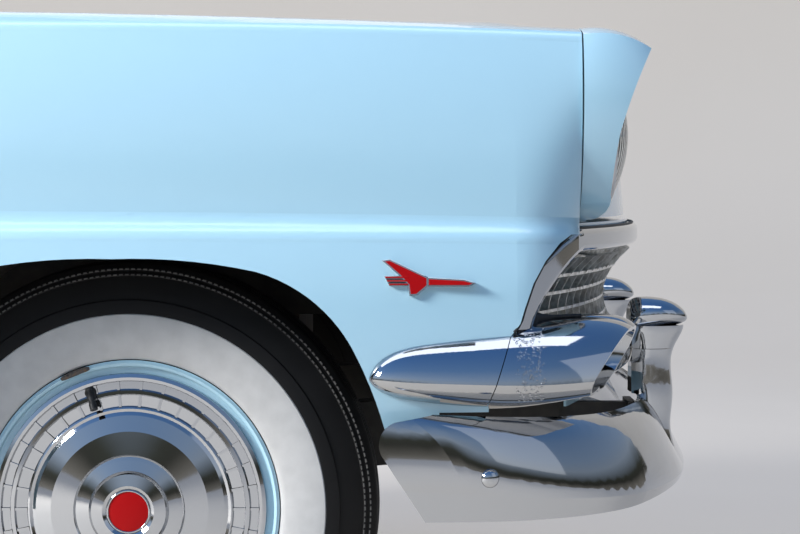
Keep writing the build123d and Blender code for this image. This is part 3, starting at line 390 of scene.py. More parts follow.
def grow(name, base, group, values, body, slot):
    """Runs a node group on a base mesh once and keeps the plain mesh that it makes."""
    source = in_scene(name + "_source", base)
    modifier = source.modifiers.new("grow", "NODES")
    modifier.node_group = group
    for item in group.interface.items_tree:
        if item.item_type == "SOCKET" and item.in_out == "INPUT" and item.name in values:
            modifier[item.identifier] = values[item.name]
    ready = source.evaluated_get(bpy.context.evaluated_depsgraph_get())
    mesh = bpy.data.meshes.new_from_object(ready)
    bpy.data.objects.remove(source)
    return new_object(name, mesh, body, slot)


def studded(name, places, piece, material, body, slot):
    """Copies of one small mesh on a list of (place, axis) or (place, axis, along)."""
    model = in_scene(name + "_model", piece)
    values = {"Piece": model, "Scale": 1.0, "Finish": material}
    made = grow(name, points_mesh(name, places), studs_group(), values, body, slot)
    bpy.data.objects.remove(model)
    return made


# Materials


def sky_blue_enamel(paint):
    """Baked gloss enamel: even colour, a clear wet gloss and orange peel a few millimetres across."""
    return finish(
        "sky_blue_enamel", relief=(6, 1.0, 0.06, 0.1), Base_Color=(*paint.colour, 1.0), Roughness=0.32,
        Coat_Weight=1.0, Coat_Roughness=0.04,
    )


def chrome_plate():
    """Plated steel: a clean mirror with faint polishing haze, and the ripple of the polished steel, tens
    of millimetres across."""
    return finish(
        "chrome_plate", (60, 4.0), rough=(0.02, 0.1), relief=(45, 1.0, 0.12, 0.4),
        Base_Color=srgb("B4B7BB"), Metallic=1.0,
    )


def bright_mesh_metal():
    """Plated pressings of the grille mesh: duller than the bumper, with dirt in patches."""
    stops = ((0.35, "B5B3AE"), (0.6, "EDEDEB"))
    return finish("bright_mesh_metal", (12, 5.0), stops, (0.45, 0.25), Metallic=1.0)


def chassis_paint():
    """Brushed-on chassis black with road dust."""
    stops = ((0.4, "141414"), (0.75, "3A3631"))
    return finish("chassis_paint", (40, 6.0), stops, (0.4, 0.75), (3, 2.0, 0.2, 0.3))


def sand_cast_iron():
    """Sand-cast iron: dark grey-brown, with a grain drawn at 2 mm so that it shows."""
    stops = ((0.35, "3C3A38"), (0.7, "5B5149"))
    return finish(
        "sand_cast_iron", (30, 5.0), stops, relief=(2, 2.0, 0.5, 0.4), Metallic=0.7, Roughness=0.6
    )


def bare_steel():
    """Turned and drawn steel, lightly oiled."""
    return finish("bare_steel", (8, 4.0), rough=(0.25, 0.5), Base_Color=srgb("8A8C8E"), Metallic=1.0)


def black_rubber():
    """Cured tyre rubber: near black, dull, with a fine moulded grain."""
    stops = ((0.35, "050506"), (0.7, "0D0D0E"))
    return finish(
        "black_rubber", (25, 5.0), stops, (0.55, 0.75), (1.5, 3.0, 0.2, 0.1), Specular_IOR_Level=0.3
    )


def white_rubber():
    """Whitewall rubber: chalky white, lightly soiled."""
    stops = ((0.3, "C3C1BD"), (0.65, "CDCBC7"))
    return finish("white_rubber", (25, 8.0), stops, relief=(2, 3.0, 0.1, 0.1), Roughness=0.5)


def lamp_glass():
    """Pressed glass: clear, with upright flutes about 9 mm apart that break up what shows through."""
    glass = finish(
        "lamp_glass", Base_Color=srgb("F2F5F5"), Roughness=0.05, Transmission_Weight=1.0, IOR=1.5
    )
    tree = glass.node_tree
    pitch = 8.976 * MM
    # A wave repeats every tenth of pi once its scale is applied
    wave = {"Vector": add(tree, "ShaderNodeTexCoord").outputs["Object"], "Scale": math.pi / 10 / pitch}
    flutes = add(tree, "ShaderNodeTexWave", wave, bands_direction="Y").outputs["Fac"]
    ridges = add(tree, "ShaderNodeBump", {"Height": flutes, "Strength": 0.5, "Distance": 1.0 * MM})
    tree.links.new(ridges.outputs["Normal"], tree.nodes["Principled BSDF"].inputs["Normal"])
    return glass


def silvered_glass():
    """The silvered bowl of a sealed lamp: a mirror with a soft haze."""
    return finish("silvered_glass", (20, 2.0), rough=(0.08, 0.16), Base_Color=srgb("E9EBEC"), Metallic=1.0)


def clear_water():
    """Beads of clean water: each bends what lies behind it and holds a glint."""
    return finish(
        "clear_water", (5, 1.0), rough=(0.0, 0.04), Base_Color=srgb("FFFFFF"), Transmission_Weight=1.0,
        IOR=1.33,
    )


def seal_rubber():
    """Extruded sealing rubber, dusty black."""
    stops = ((0.35, "0D0D0E"), (0.75, "232323"))
    return finish("seal_rubber", (9, 4.0), stops, relief=(3, 3.0, 0.4, 0.5), Roughness=0.55)


def nib_highlight_rubber():
    """The nibs of the tyre's shoulder in a dull grey: a painted highlight that makes the raised rubber read
    lighter than the black tyre.
    """
    return finish("nib_highlight_rubber", (30, 4.0), ((0.3, "4E4D4B"), (0.7, "6B6966")), Roughness=0.8)


def old_lead():
    """Cast lead: grey and pitted, with rust from its steel clip."""
    stops = ((0.35, "2C2926"), (0.5, "5E5A57"), (0.68, "7A5B3E"))
    return finish("old_lead", (6, 5.0), stops, relief=(3, 4.0, 0.6, 0.6), Metallic=0.6, Roughness=0.65)


def spring_steel():
    """Black-enamelled spring wire, worn to a warm grey in patches."""
    stops = ((0.45, "1B1B1C"), (0.7, "403A35"))
    return finish("spring_steel", (15, 5.0), stops, Metallic=0.5, Roughness=0.45)


def red_enamel():
    """Hard-fired red enamel set in the darts and hubs: deep red with a low, soft shine."""
    return finish(
        "red_enamel", relief=(4, 2.0, 0.05, 0.1), Base_Color=srgb("AE0206"), Roughness=0.4,
        Specular_IOR_Level=0.2,
    )


# Sizes and colours that a user can change


class PaintSettings(bpy.types.PropertyGroup):
    """Body colour."""

    colour: FloatVectorProperty(
        name="Body colour", description="Linear colour of the body enamel", subtype="COLOR", size=3,
        min=0.0, max=1.0, default=srgb("B2DAE9")[:3],
    )


class TyreSettings(bpy.types.PropertyGroup):
    """Tyre trim."""

    white_outer: FloatProperty(
        name="Whitewall outer radius", description="Where the white band meets the black sidewall",
        subtype="DISTANCE", unit="LENGTH", default=0.2745,
    )
    white_inner: FloatProperty(
        name="Whitewall inner radius", description="Where the white band begins beside the rim",
        subtype="DISTANCE", unit="LENGTH", default=0.2105,
    )
    segments: IntProperty(
        name="Segments", description="Steps round the tyre", default=160, min=48, max=320
    )


class WheelSettings(bpy.types.PropertyGroup):
    """Small pieces on the wheels."""

    medallion: FloatProperty(
        name="Medallion radius", description="Radius of the red disc on the wheel cover's hub",
        subtype="DISTANCE", unit="LENGTH", default=0.0275,
    )
    nibs: IntProperty(
        name="Shoulder nibs", description="Moulded nibs in each ring on the tyre's shoulder",
        default=250, min=40, max=400,
    )
    valve_angle: FloatProperty(
        name="Valve angle", description="Where the valve sits, from the rear of the wheel upwards",
        subtype="ANGLE", unit="ROTATION", default=math.radians(71.6),
    )


class LampSettings(bpy.types.PropertyGroup):
    """Headlamp glass and bowl."""

    glass: FloatProperty(
        name="Glass thickness", description="Thickness of the headlamp's glass",
        subtype="DISTANCE", unit="LENGTH", default=0.003,
    )
    bowl: FloatProperty(
        name="Bowl throat radius", description="Radius of the silvered bowl where it meets the bulb",
        subtype="DISTANCE", unit="LENGTH", default=0.018,
    )


class CoilSettings(bpy.types.PropertyGroup):
    """Front coil springs."""

    turns: FloatProperty(
        name="Turns", description="Turns of wire in each spring", default=6.5, min=2.0, max=12.0
    )
    wire: FloatProperty(
        name="Wire radius", description="Radius of the spring's wire",
        subtype="DISTANCE", unit="LENGTH", default=0.0068,
    )


class DropSettings(bpy.types.PropertyGroup):
    """Water beads on the lamp pods."""

    density: FloatProperty(
        name="Beads per square metre", description="How many water beads stand on each square metre",
        default=45000.0, min=0.0,
    )
    radius: FloatProperty(
        name="Bead radius", description="Radius of the largest bead",
        subtype="DISTANCE", unit="LENGTH", default=0.0022,
    )
    seed: IntProperty(name="Seed", description="Fixes where the beads fall", default=7)


class CameraSettings(bpy.types.PropertyGroup):
    """The photograph's viewpoint."""

    ahead: FloatProperty(
        name="Ahead of axle", description="Camera's distance ahead of the front axle",
        subtype="DISTANCE", unit="LENGTH", default=0.377,
    )
    aside: FloatProperty(
        name="From centre line", description="Camera's distance from the car's centre line",
        subtype="DISTANCE", unit="LENGTH", default=3.662,
    )
    eye: FloatProperty(
        name="Eye height", description="Camera's height over the floor",
        subtype="DISTANCE", unit="LENGTH", default=0.796,
    )
    lens: FloatProperty(
        name="Focal length", description="Lens on a 36 mm wide sensor",
        subtype="DISTANCE_CAMERA", unit="CAMERA", default=92.25,
    )
    pitch: FloatProperty(
        name="Pitch", description="How far the camera looks down",
        subtype="ANGLE", unit="ROTATION", default=math.radians(2.19),
    )


# Operators


# Columns: name, power in watts, then in metres: size along and across, place, aimed at
LIGHTS = (
    ("key_soft_light", 550.0, 1.8, 1.3, (-4.2, -3.3, 2.8), (0.6, -0.9, 0.0)),
    ("strip_soft_light", 20.0, 3.6, 0.9, (0.4, -1.0, 2.5), (0.4, -0.95, 0.0)),
    ("fill_soft_light", 8.0, 3.0, 3.0, (4.6, -3.0, 2.0), (0.9, -0.3, -0.1)),
    ("back_soft_light", 12.0, 4.0, 2.0, (-0.5, 3.5, 2.8), (0.5, 0.0, 0.1)),
)
# Columns: place away from the camera, height over the floor, half width, all in metres
FLOOR_PROFILE = (
    (-24.0, 0.0, 24.0), (5.0, 0.0, 24.0), (6.0, 0.0, 9.0), (7.2, 0.25, 9.0), (8.0, 1.0, 9.0),
    (8.4, 2.2, 9.0), (8.5, 7.0, 9.0),
)
# From straight down to straight up: warm ground, a dim band just over eye height, then blue sky
SKY = (
    (0.0, "B4ADA4"), (0.4, "DAD4CA"), (0.47, "C4BEB4"), (0.5, "9C978E"), (0.53, "50504A"),
    (0.55, "54564D"), (0.61, "C6D7EC"), (0.66, "B4CFF2"), (0.8, "7FABE4"), (1.0, "5A8FD8"),
)


class FRONTEND_OT_stage(bpy.types.Operator):
    """Makes the floor, the backdrop, the lights and the camera"""

    bl_idname = "frontend.stage"
    bl_label = "Stage"

    def execute(self, context):
        scene = context.scene
        scene.view_settings.view_transform = "Standard"
        self.make_floor()
        self.make_world(scene)
        for name, power, along, across, place, target in LIGHTS:
            data = bpy.data.lights.new(name, "AREA")
            data.shape = "RECTANGLE"
            data.size, data.size_y, data.energy = along, across, power
            lamp = in_scene(name, data)
            lamp.location = place
            aim = Vector(target) - Vector(place)
            lamp.rotation_euler = aim.to_track_quat("-Z", "Y").to_euler()
        self.make_camera(scene)
        return {"FINISHED"}

    def make_floor(self):
        """A wide pale floor that runs up into a narrower pale backdrop."""
        bm = bmesh.new()
        rows = []
        for y, z, half in FLOOR_PROFILE:
            rows.append([bm.verts.new((x, y, FLOOR_Z + z)) for x in (half, -half)])
        for one, two in zip(rows, rows[1:]):
            face = bm.faces.new((one[0], two[0], two[1], one[1]))
            face.smooth = True
        mesh = as_mesh(bm, "studio_floor")
        stops = ((0.3, "BFB8AE"), (0.7, "C5BEB4"))
        paper = finish(
            "studio_paper", (1500, 3.0), stops, Roughness=0.7, Emission_Color=srgb("F2E6D6")
        )
        # The paper glows for rays that show it, so that it looks pale and lights nothing
        glow_strength = 0.4
        tree = paper.node_tree
        rays = add(tree, "ShaderNodeLightPath").outputs
        glow = rays["Is Camera Ray"]
        for other, operation in (
            (rays["Is Glossy Ray"], "MAXIMUM"), (rays["Is Transmission Ray"], "MAXIMUM"),
            (glow_strength, "MULTIPLY"),
        ):
            glow = add(tree, "ShaderNodeMath", {0: glow, 1: other}, operation=operation).outputs["Value"]
        tree.links.new(glow, tree.nodes["Principled BSDF"].inputs["Emission Strength"])
        mesh.materials.append(paper)
        floor = in_scene("studio_floor", mesh)

    def make_world(self, scene):
        """A blue sky over a dim band and warm ground, which the paint and chrome reflect."""
        world = bpy.data.worlds.new("studio_world")
        world.use_nodes = True
        tree = world.node_tree
        tree.nodes.clear()
        way = add(tree, "ShaderNodeTexCoord").outputs["Generated"]
        part = add(tree, "ShaderNodeSeparateXYZ", {"Vector": way}).outputs
        rise = {"Value": part["Z"], "From Min": -1.0, "From Max": 1.0}
        height = add(tree, "ShaderNodeMapRange", rise).outputs["Result"]
        tint = add(tree, "ShaderNodeValToRGB", {"Fac": height}, SKY).outputs["Color"]
        # The side ahead of the car is dimmer than the side the key light stands on
        fall = {"Value": part["X"], "From Min": -1.0, "To Min": 1.0, "To Max": 0.45}
        power = add(tree, "ShaderNodeMapRange", fall).outputs["Result"]
        shade = add(tree, "ShaderNodeBackground", {"Color": tint, "Strength": power})
        add(tree, "ShaderNodeOutputWorld", {"Surface": shade.outputs["Background"]})
        scene.world = world

    def make_camera(self, scene):
        """The camera where the photograph was taken from."""
        view = scene.front_end_camera
        data = bpy.data.cameras.new("photograph_camera")
        data.lens = view.lens
        data.sensor_width = 36.0
        camera = in_scene("photograph_camera", data)
        camera.location = (AXLE.x + view.ahead, -view.aside, FLOOR_Z + view.eye)
        camera.rotation_euler = (math.radians(90) - view.pitch, 0.0, 0.0)
        scene.camera = camera


class FRONTEND_OT_finishes(bpy.types.Operator):
    """Gives the CAD pieces their paint, plating and cast finishes"""

    bl_idname = "frontend.finishes"
    bl_label = "Finishes"

    def execute(self, context):
        dress(
            sky_blue_enamel(context.scene.front_end_paint),
            "fender_left", "fender_right", "headlamp_door_left", "headlamp_door_right", "hood",
            "nose_panel", "gravel_shield", "dash_panel", "rim_left", "rim_right",
        )
        dress(
            chrome_plate(), "headlamp_rings", "grille_surround", "grille_lower_bar", "pod_tip_left",
            "pod_tip_right", "pod_housing_left", "pod_housing_right", "bumper_bar", "bumper_guards",
            "guard_caps", "wheel_cover_left", "wheel_cover_right",
        )
        dress(bright_mesh_metal(), "grille_mesh")
        dress(
            chassis_paint(), "bumper_irons", "frame_stub", "radiator_support", "radiator", "apron_left",
            "apron_right", "upper_arms", "lower_arms", "coil_springs",
        )
        dress(
            sand_cast_iron(),
            "engine_block", "knuckle_left", "knuckle_right", "brake_drum_left", "brake_drum_right",
        )
        dress(bare_steel(), "tie_rod", "hood_hinge_arms", "hood_hinge_brackets")
        dress(lamp_glass(), "headlamp_lenses", "parking_lenses")
        return {"FINISHED"}


# Tyre outline from the outer bead to the middle of the tread. Columns: radius less the tyre's own, out
# from the middle, both in millimetres
TYRE_OUTLINE = [
    (-152.0, 62.0), (-146.0, 63.0), (-139.0, 68.0), (-137.7, 72.0), (-136.8, 75.0), (-134.0, 77.6),
    (-128.0, 79.6), (-116.0, 82.2), (-100.0, 84.3), (-86.0, 85.0), (-78.0, 84.8), (-75.2, 84.6),
    (-74.0, 83.4), (-72.8, 84.2), (-66.0, 83.4), (-58.0, 81.8), (-55.0, 81.0), (-53.4, 78.6),
    (-46.0, 76.4), (-36.0, 73.0), (-29.0, 70.2), (-22.0, 67.4), (-20.4, 68.2), (-18.0, 67.4),
    (-16.6, 65.4), (-14.0, 64.4), (-12.4, 64.8), (-10.0, 63.6), (-8.6, 61.8), (-6.0, 60.4),
    (-3.2, 57.5), (-1.9, 52.0), (-1.5, 45.0), (-1.4, 41.0), (-8.0, 40.0), (-8.0, 34.0), (-1.0, 33.0),
    (-0.7, 21.0), (-8.0, 20.0), (-8.0, 14.0), (-0.4, 13.0), (0.0, 0.0),
]
# The tyre's hollow, from bead to bead: radius and out from the middle, in metres
TYRE_HOLLOW = [
    (0.215, -0.056), (0.262, -0.066), (0.315, -0.04), (0.322, 0.0), (0.315, 0.04), (0.262, 0.066),
    (0.215, 0.056),
]


class FRONTEND_OT_tyres(bpy.types.Operator):
    """Makes the whitewall tyres with zigzag tread ribs and two rings of moulded nibs on each tyre's outer
    shoulder
    """

    bl_idname = "frontend.tyres"
    bl_label = "Tyres"

    def execute(self, context):
        sizes = context.scene.front_end_tyres
        # The nibs' grey is a painted highlight on their raised rubber
        black, white, nib_highlight = black_rubber(), white_rubber(), nib_highlight_rubber()
        half = [((TYRE_RADIUS + r * MM), out * MM) for r, out in TYRE_OUTLINE]
        other = [(r, -out) for r, out in reversed(half[:-1])]
        profile = half + other + TYRE_HOLLOW + half[:1]
        slots = []
        for i, (a, b) in enumerate(zip(profile, profile[1:])):
            on_band = sizes.white_inner < (a[0] + b[0]) / 2 < sizes.white_outer
            slots.append(1 if i < len(half) - 1 and on_band else 0)

        # The tread's depth, where its grooves lie on each side of the middle, and how far they swing
        tread, nearest, furthest, swing = 0.009, 0.005, 0.043, 0.002

        def zigzag(step, radius, out):
            if radius < TYRE_RADIUS - tread or not nearest < abs(out) < furthest:
                return 0.0
            return swing if step % 2 else -swing

        for side_name, side in SIDES:
            centre = hub_centre(side)
            name = f"whitewall_tyre_{side_name}"
            bm = bmesh.new()
            lathe(bm, profile, centre, (0, side, 0), sizes.segments, slots, zigzag)
            tyre = new_piece(name, bm, 35, f"wheel_{side_name}", "tyre_rubber", black, white)
            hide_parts(f"tyre_{side_name}")
            self.make_nibs(context, side_name, side, centre, nib_highlight)
        return {"FINISHED"}

    def make_nibs(self, context, side_name, side, centre, material):
        """Two broken ribs of short dashes beside the tread."""
        count = context.scene.front_end_wheels.nibs
        places = []
        # Columns: radius, out from the tyre's middle, lean outwards
        for radius, out, lean in ((0.3362, 0.0646, 0.7), (0.3283, 0.0680, 1.2)):
            for i in range(count):
                a = 2 * math.pi * i / count
                axis = (spoke(a) * 0.6 + Vector((0, side * lean, 0))).normalized()
                along = Vector((-math.sin(a), 0, math.cos(a)))
                places.append((centre + spoke(a) * radius + Vector((0, side * out, 0)), axis, along))
        bm = bmesh.new()
        rings = []
        # Columns: half length, half width, height, in millimetres
        for x, y, z in ((2.8, 1.1, -1.0), (2.38, 0.66, 0.9)):
            corners = ((-x, -y), (x, -y), (x, y), (-x, y))
            rings.append([bm.verts.new((u * MM, v * MM, z * MM)) for u, v in corners])
        loft(bm, rings)
        nib = finished(bm, "shoulder_nib")
        studded(f"shoulder_nibs_{side_name}", places, nib, material, f"wheel_{side_name}", "tyre_rubber")


class FRONTEND_OT_wheel_trim(bpy.types.Operator):
    """Adds the red medallion, its bezel, the valve and a balance weight to each wheel"""

    bl_idname = "frontend.wheel_trim"
    bl_label = "Wheel trim"

    def execute(self, context):
        sizes = context.scene.front_end_wheels
        red, plate, rubber, lead = red_enamel(), chrome_plate(), seal_rubber(), old_lead()
        r = sizes.medallion
        # Columns here and below: radius, out from the wheel's middle
        dome = [(0, 0.0975), (r * 0.4, 0.0972), (r * 0.75, 0.0966), (r, 0.0956), (r, 0.094), (0, 0.094)]
        bezel = [
            (r, 0.0945), (r, 0.0962), (r + 0.001, 0.0972), (r + 0.0028, 0.0968), (r + 0.0036, 0.0945),
            (r, 0.0945),
        ]
        for side_name, side in SIDES:
            body = f"wheel_{side_name}"
            hub, out = hub_centre(side), Vector((0, side, 0))
            bm = bmesh.new()
            lathe(bm, dome, hub, out, 64)
            new_piece(f"medallion_{side_name}", bm, 35, body, "chrome", red)
            bm = bmesh.new()
            lathe(bm, bezel, hub, out, 64)
            new_piece(f"medallion_bezel_{side_name}", bm, 60, body, "chrome", plate)
            self.make_valve(hub, out, sizes.valve_angle, side_name, body, rubber)
            self.make_weight(hub, out, side_name, body, lead)
        return {"FINISHED"}

    def make_valve(self, hub, out, angle, side_name, body, rubber):
        """A rubber valve that leans out between the cover's two rings."""
        away = spoke(math.pi - angle)
        guides = [(0.174, 0.066), (0.172, 0.075), (0.166, 0.083), (0.157, 0.089), (0.149, 0.0925)]
        path = curve_through([hub + away * r + out * y for r, y in guides], 5)
        # Columns: the share of the length that this radius ends at, radius
        steps = ((0.3, 0.0085), (0.62, 0.0062), (0.72, 0.0048), (math.inf, 0.0056))
        radii = []
        for i in range(len(path)):
            share = i / (len(path) - 1)
            radii.append(next(radius for end, radius in steps if share < end))
        bm = bmesh.new()
        tube(bm, path, radii, 16)
        new_piece(f"valve_{side_name}", bm, 40, body, "tyre_rubber", rubber)

    def make_weight(self, hub, out, side_name, body, lead):
        """A cast weight clipped to the rim's lip, thinner at its ends."""
        first, last, count = math.radians(105.8), math.radians(117.6), 12
        section = [
            (0.2050, 0.0735), (0.2095, 0.0755), (0.2092, 0.0785), (0.2060, 0.0800), (0.2025, 0.0785),
            (0.2015, 0.0745),
        ]
        middle_r, middle_y = 0.2055, 0.0765
        bm = bmesh.new()
        rings = []
        for i in range(count + 1):
            away = spoke(first + (last - first) * i / count)
            swell = 0.55 + 0.45 * math.sin(math.pi * i / count) ** 0.4
            ring = []
            for r, y in section:
                across = middle_r + (r - middle_r) * swell
                ring.append(bm.verts.new(hub + away * across + out * (middle_y + (y - middle_y) * swell)))
            rings.append(ring)
        loft(bm, rings)
        new_piece(f"balance_weight_{side_name}", bm, 50, body, "cast_iron", lead)


class FRONTEND_OT_headlamps(bpy.types.Operator):
    """Makes the headlamps' glass, silvered bowls, bulb shields and ring screws"""

    bl_idname = "frontend.headlamps"
    bl_label = "Headlamps"

    def execute(self, context):
        sizes = context.scene.front_end_lamps
        glass, silver, plate = lamp_glass(), silvered_glass(), chrome_plate()
        # The glass stays a hair inside the CAD's lens
        r = (LENS_HIGH.z - LENS_LOW.z) / 2 - 0.0003
        back, front = RING_LOW.x, LENS_HIGH.x - 0.0002
        height = (LENS_LOW.z + LENS_HIGH.z) / 2
        aside = LENS_HIGH.y - (LENS_HIGH.z - LENS_LOW.z) / 2
        # How far the glass curves back from its middle to its edge, its skirt's depth and the bowl's wall
        rise, skirt_depth, wall = 0.022, 0.006, 0.0012
        outer, inner, bowl = [], [], []
        for k in range(15):
            q = k / 14
            outer.append((r * q, front - rise * q * q))
            inner.append(((r - 0.001) * q, front - sizes.glass - rise * q * q))
            deep = back + 0.002 + (front - rise - back - 0.008) * q * q
            bowl.append((sizes.bowl + (r - sizes.bowl - 0.0015) * q, deep))
        skirt = [(r, front - rise - skirt_depth), (r - 0.001, front - rise - skirt_depth)]
        rear = [(radius, along - wall) for radius, along in reversed(bowl)]
        # The bulb's shield and its stalk. Columns: radius, ahead of the lamp's back
        shield = [(0, 0.026), (0.006, 0.0252), (0.009, 0.021), (0.009, 0.016), (0, 0.016)]
        stalk = [(0, 0.001), (0.0022, 0.001), (0.0022, 0.017), (0, 0.017)]
        screw_ring, screw_turns = 0.0875, (35, 145, 270)
        glasses = bmesh.new()
        bowls = bmesh.new()
        screws = []
        for _, side in SIDES:
            hub = Vector((0.0, side * aside, height))
            lathe(glasses, outer + skirt + inner[::-1], hub, AHEAD, 96)
            lathe(bowls, [(0, back + 0.0022)] + bowl + rear + [(0, back + 0.0008)], hub, AHEAD, 64)
            for profile, steps in ((shield, 24), (stalk, 10)):
                lathe(bowls, [(radius, back + along) for radius, along in profile], hub, AHEAD, steps)
            for turn in screw_turns:
                a = math.radians(turn)
                y, z = hub.y + screw_ring * math.cos(a), hub.z + screw_ring * math.sin(a)
                screws.append((Vector((RING_HIGH.x - 0.0012, y, z)), AHEAD))
        lens = new_piece("headlamp_glasses", glasses, 50, "nose", "lamp_glass", glass)
        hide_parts("headlamp_lenses")
        new_piece("headlamp_bowls", bowls, 40, "nose", "chrome", silver)
        pan = [(0, -0.001), (0.0028, -0.001), (0.0028, 0.0004), (0.0016, 0.0012), (0, 0.0014)]
        studded("ring_screws", screws, turned_mesh("ring_screw", pan, 16), plate, "nose", "chrome")
        return {"FINISHED"}


class FRONTEND_OT_pod_dressing(bpy.types.Operator):
    """Adds the rubber seal over each lamp pod and beads of water on its outer side"""

    bl_idname = "frontend.pod_dressing"
    bl_label = "Pod dressing"

    def execute(self, context):
        rubber, water = seal_rubber(), clear_water()
        drops = context.scene.front_end_drops
        over_pod = 720
        bm = bmesh.new()
        for side_name, side in SIDES:
            crest = []
            for x, y in ((524, 884), (542, 878), (560, 868), (582, 860), (604, 852), (626, 842)):
                spot, _ = skin_hit(f"pod_housing_{side_name}", at(x, side * y, over_pod), -UP)
                crest.append(spot + 2 * MM * UP)
            path = curve_through(crest, 6)
            radii = []
            for i in range(len(path)):
                # The seal is fattest near its rear, and uneven like hand-trimmed rubber
                share = i / (len(path) - 1)
                swell = math.exp(-(((share - 0.22) / 0.24) ** 2))
                radii.append(MM * (2.5 + 15.0 * swell) * (1 + 0.08 * math.sin(i * 1.9)))
            tube(bm, path, radii, 14)
        new_piece("pod_seals", bm, 60, "nose", "tyre_rubber", rubber)
        values = {"Density": drops.density, "Radius": drops.radius, "Seed": drops.seed, "Finish": water}
        for side_name, side in SIDES:
            patch = self.wet_patch(f"pod_housing_{side_name}", side)
            grow(f"water_beads_{side_name}", patch, drops_group(), values, "nose", "lamp_glass")
        return {"FINISHED"}

    def wet_patch(self, node, side):
        """A net laid on the pod's outer side, in the wavering band that the water stands on."""
        rows, across = 30, 12
        foot, tall, rear, wide, waver = 512.0, 94.0, 534.0, 34.0, 4.0
        spots, faces = [], []
        for i in range(rows + 1):
            for k in range(across + 1):
                x = rear + wide * k / across + waver * math.sin(i * 0.9)
                spots.append(side_hit(node, x, side, foot + tall * i / rows)[0])
        for i in range(rows):
            for k in range(across):
                corner = i * (across + 1) + k
                ring = [corner, corner + 1, corner + across + 2, corner + across + 1]
                faces.append(ring if side < 0 else ring[::-1])
        mesh = bpy.data.meshes.new("wet_patch")
        mesh.from_pydata(spots, [], faces)
        return mesh


# A plain fender dart in side view, millimetres ahead of the axle and over the floor
DART_FIN = [
    (356, 699), (363, 700), (413, 676.5), (413, 666.5), (399, 655), (391, 654.5), (389, 668), (377, 681),
]
DART_SPEAR = [(415, 675.5), (462, 673), (475, 669.5), (469, 666.5), (415, 666.5)]
DART_BARS = [
    [(357 + k, z + 1.1), (388, z + 1.1), (388, z - 1.1), (358 + k, z - 1.1)]
    for k, z in ((0, 677.5), (2.5, 672.8), (5, 668.1))
]


class FRONTEND_OT_darts(bpy.types.Operator):
    """Puts a plain chrome and red dart on each fender, laid on the fender's own surface"""

    bl_idname = "frontend.darts"
    bl_label = "Fender darts"

    def execute(self, context):
        plate, red = chrome_plate(), red_enamel()
        edges = bmesh.new()
        fills = bmesh.new()
        for side_name, side in SIDES:
            for outline in [DART_FIN, DART_SPEAR] + DART_BARS:
                # The chrome grows past the outline and the red shrinks inside it, standing prouder
                rim, inset = (0.8, -0.1) if outline in DART_BARS else (1.6, -0.5)
                self.lay(edges, grown_outline(outline, rim), side_name, side, -1.0, 7.6, 0.4)
                self.lay(fills, grown_outline(outline, inset), side_name, side, 3.0, 7.9, 0.3)
        new_piece("dart_edges", edges, 25, "nose", "chrome", plate)
        new_piece("dart_fills", fills, 25, "nose", "chrome", red)
        return {"FINISHED"}

    def lay(self, bm, outline, side_name, side, low, high, shrink):
        """A plate of an outline on the fender, from low to high over its skin, with bevelled edges."""
        # Past this place the spear's point stands further off the skin, by one part in twelve
        spear_start = 414.0
        rings = []
        for points, height in (
            (outline, low), (outline, high - shrink), (grown_outline(outline, -shrink), high),
        ):
            ring = []
            for x, z in points:
                spot, _ = side_hit(f"fender_{side_name}", x, side, z)
                lift = height + (max(0.0, x - spear_start) / 12.0 if height > 0 else 0.0)
                ring.append(bm.verts.new(spot + Vector((0, side * lift * MM, 0))))
            rings.append(ring)
        loft(bm, rings)


# Where the fender's skin stops beside the surround, in side view, in millimetres
FENDER_EDGE = [
    (500, 565), (539, 614), (545, 634), (557, 668), (574, 698), (595, 722), (612, 733), (700, 736),
]
# The surround's top edge: its nose on the middle, its bow's radius, and where its corner's curl begins
NOSE_X, BOW_RADIUS, CURL_Y = 787.0, 2080.0, 800.0


def arc_point(a, m, b, y):
    """X at y on the arc through three plan points."""
    ax, ay = a
    mx, my = m
    bx, by = b
    d = 2 * (ax * (my - by) + mx * (by - ay) + bx * (ay - my))
    cx = ((ax**2 + ay**2) * (my - by) + (mx**2 + my**2) * (by - ay) + (bx**2 + by**2) * (ay - my)) / d
    cy = ((ax**2 + ay**2) * (bx - mx) + (mx**2 + my**2) * (ax - bx) + (bx**2 + by**2) * (mx - ax)) / d
    r = math.hypot(ax - cx, ay - cy)
    return cx + math.sqrt(max(0.0, r * r - (y - cy) ** 2))


class FRONTEND_OT_seals(bpy.types.Operator):
    """Runs a rubber bead round the grille surround"""

    bl_idname = "frontend.seals"
    bl_label = "Seals"

    def execute(self, context):
        half = [self.on_bow(CURL_Y * i / 24) for i in range(24)]
        half += [self.on_corner(i / 30) for i in range(31)]
        left = [at(x, y, z) for x, y, z in half]
        right = [at(x, -y, z) for x, y, z in reversed(half[1:])]
        bm = bmesh.new()
        tube(bm, right + left, 2.2 * MM, 8)
        new_piece("surround_bead", bm, 60, "nose", "tyre_rubber", seal_rubber())
        return {"FINISHED"}

    def on_bow(self, y):
        """The bead's place behind the surround's straight top edge."""
        behind, height = 9.0, 740.4
        return NOSE_X - BOW_RADIUS + math.sqrt(BOW_RADIUS**2 - y * y) - behind, y, height

    def on_corner(self, share):
        """The bead's place along the curl, on the line where the surround meets the fender."""
        start, end = self.on_bow(CURL_Y)[:2], (530.0, 911.0)
        y = start[1] + (end[1] - start[1]) * share**0.8
        x = arc_point(start, (588.0, 862.0), end, y)
        rim = arc_point((740.4, 760.0), (710.4, 862.0), (640.0, 918.0), y)
        for (x0, z0), (x1, z1) in zip(FENDER_EDGE, FENDER_EDGE[1:]):
            if x0 <= x < x1:
                rim = min(rim, z0 + (z1 - z0) * (x - x0) / (x1 - x0))
        return x + 0.8, y - 0.5, rim


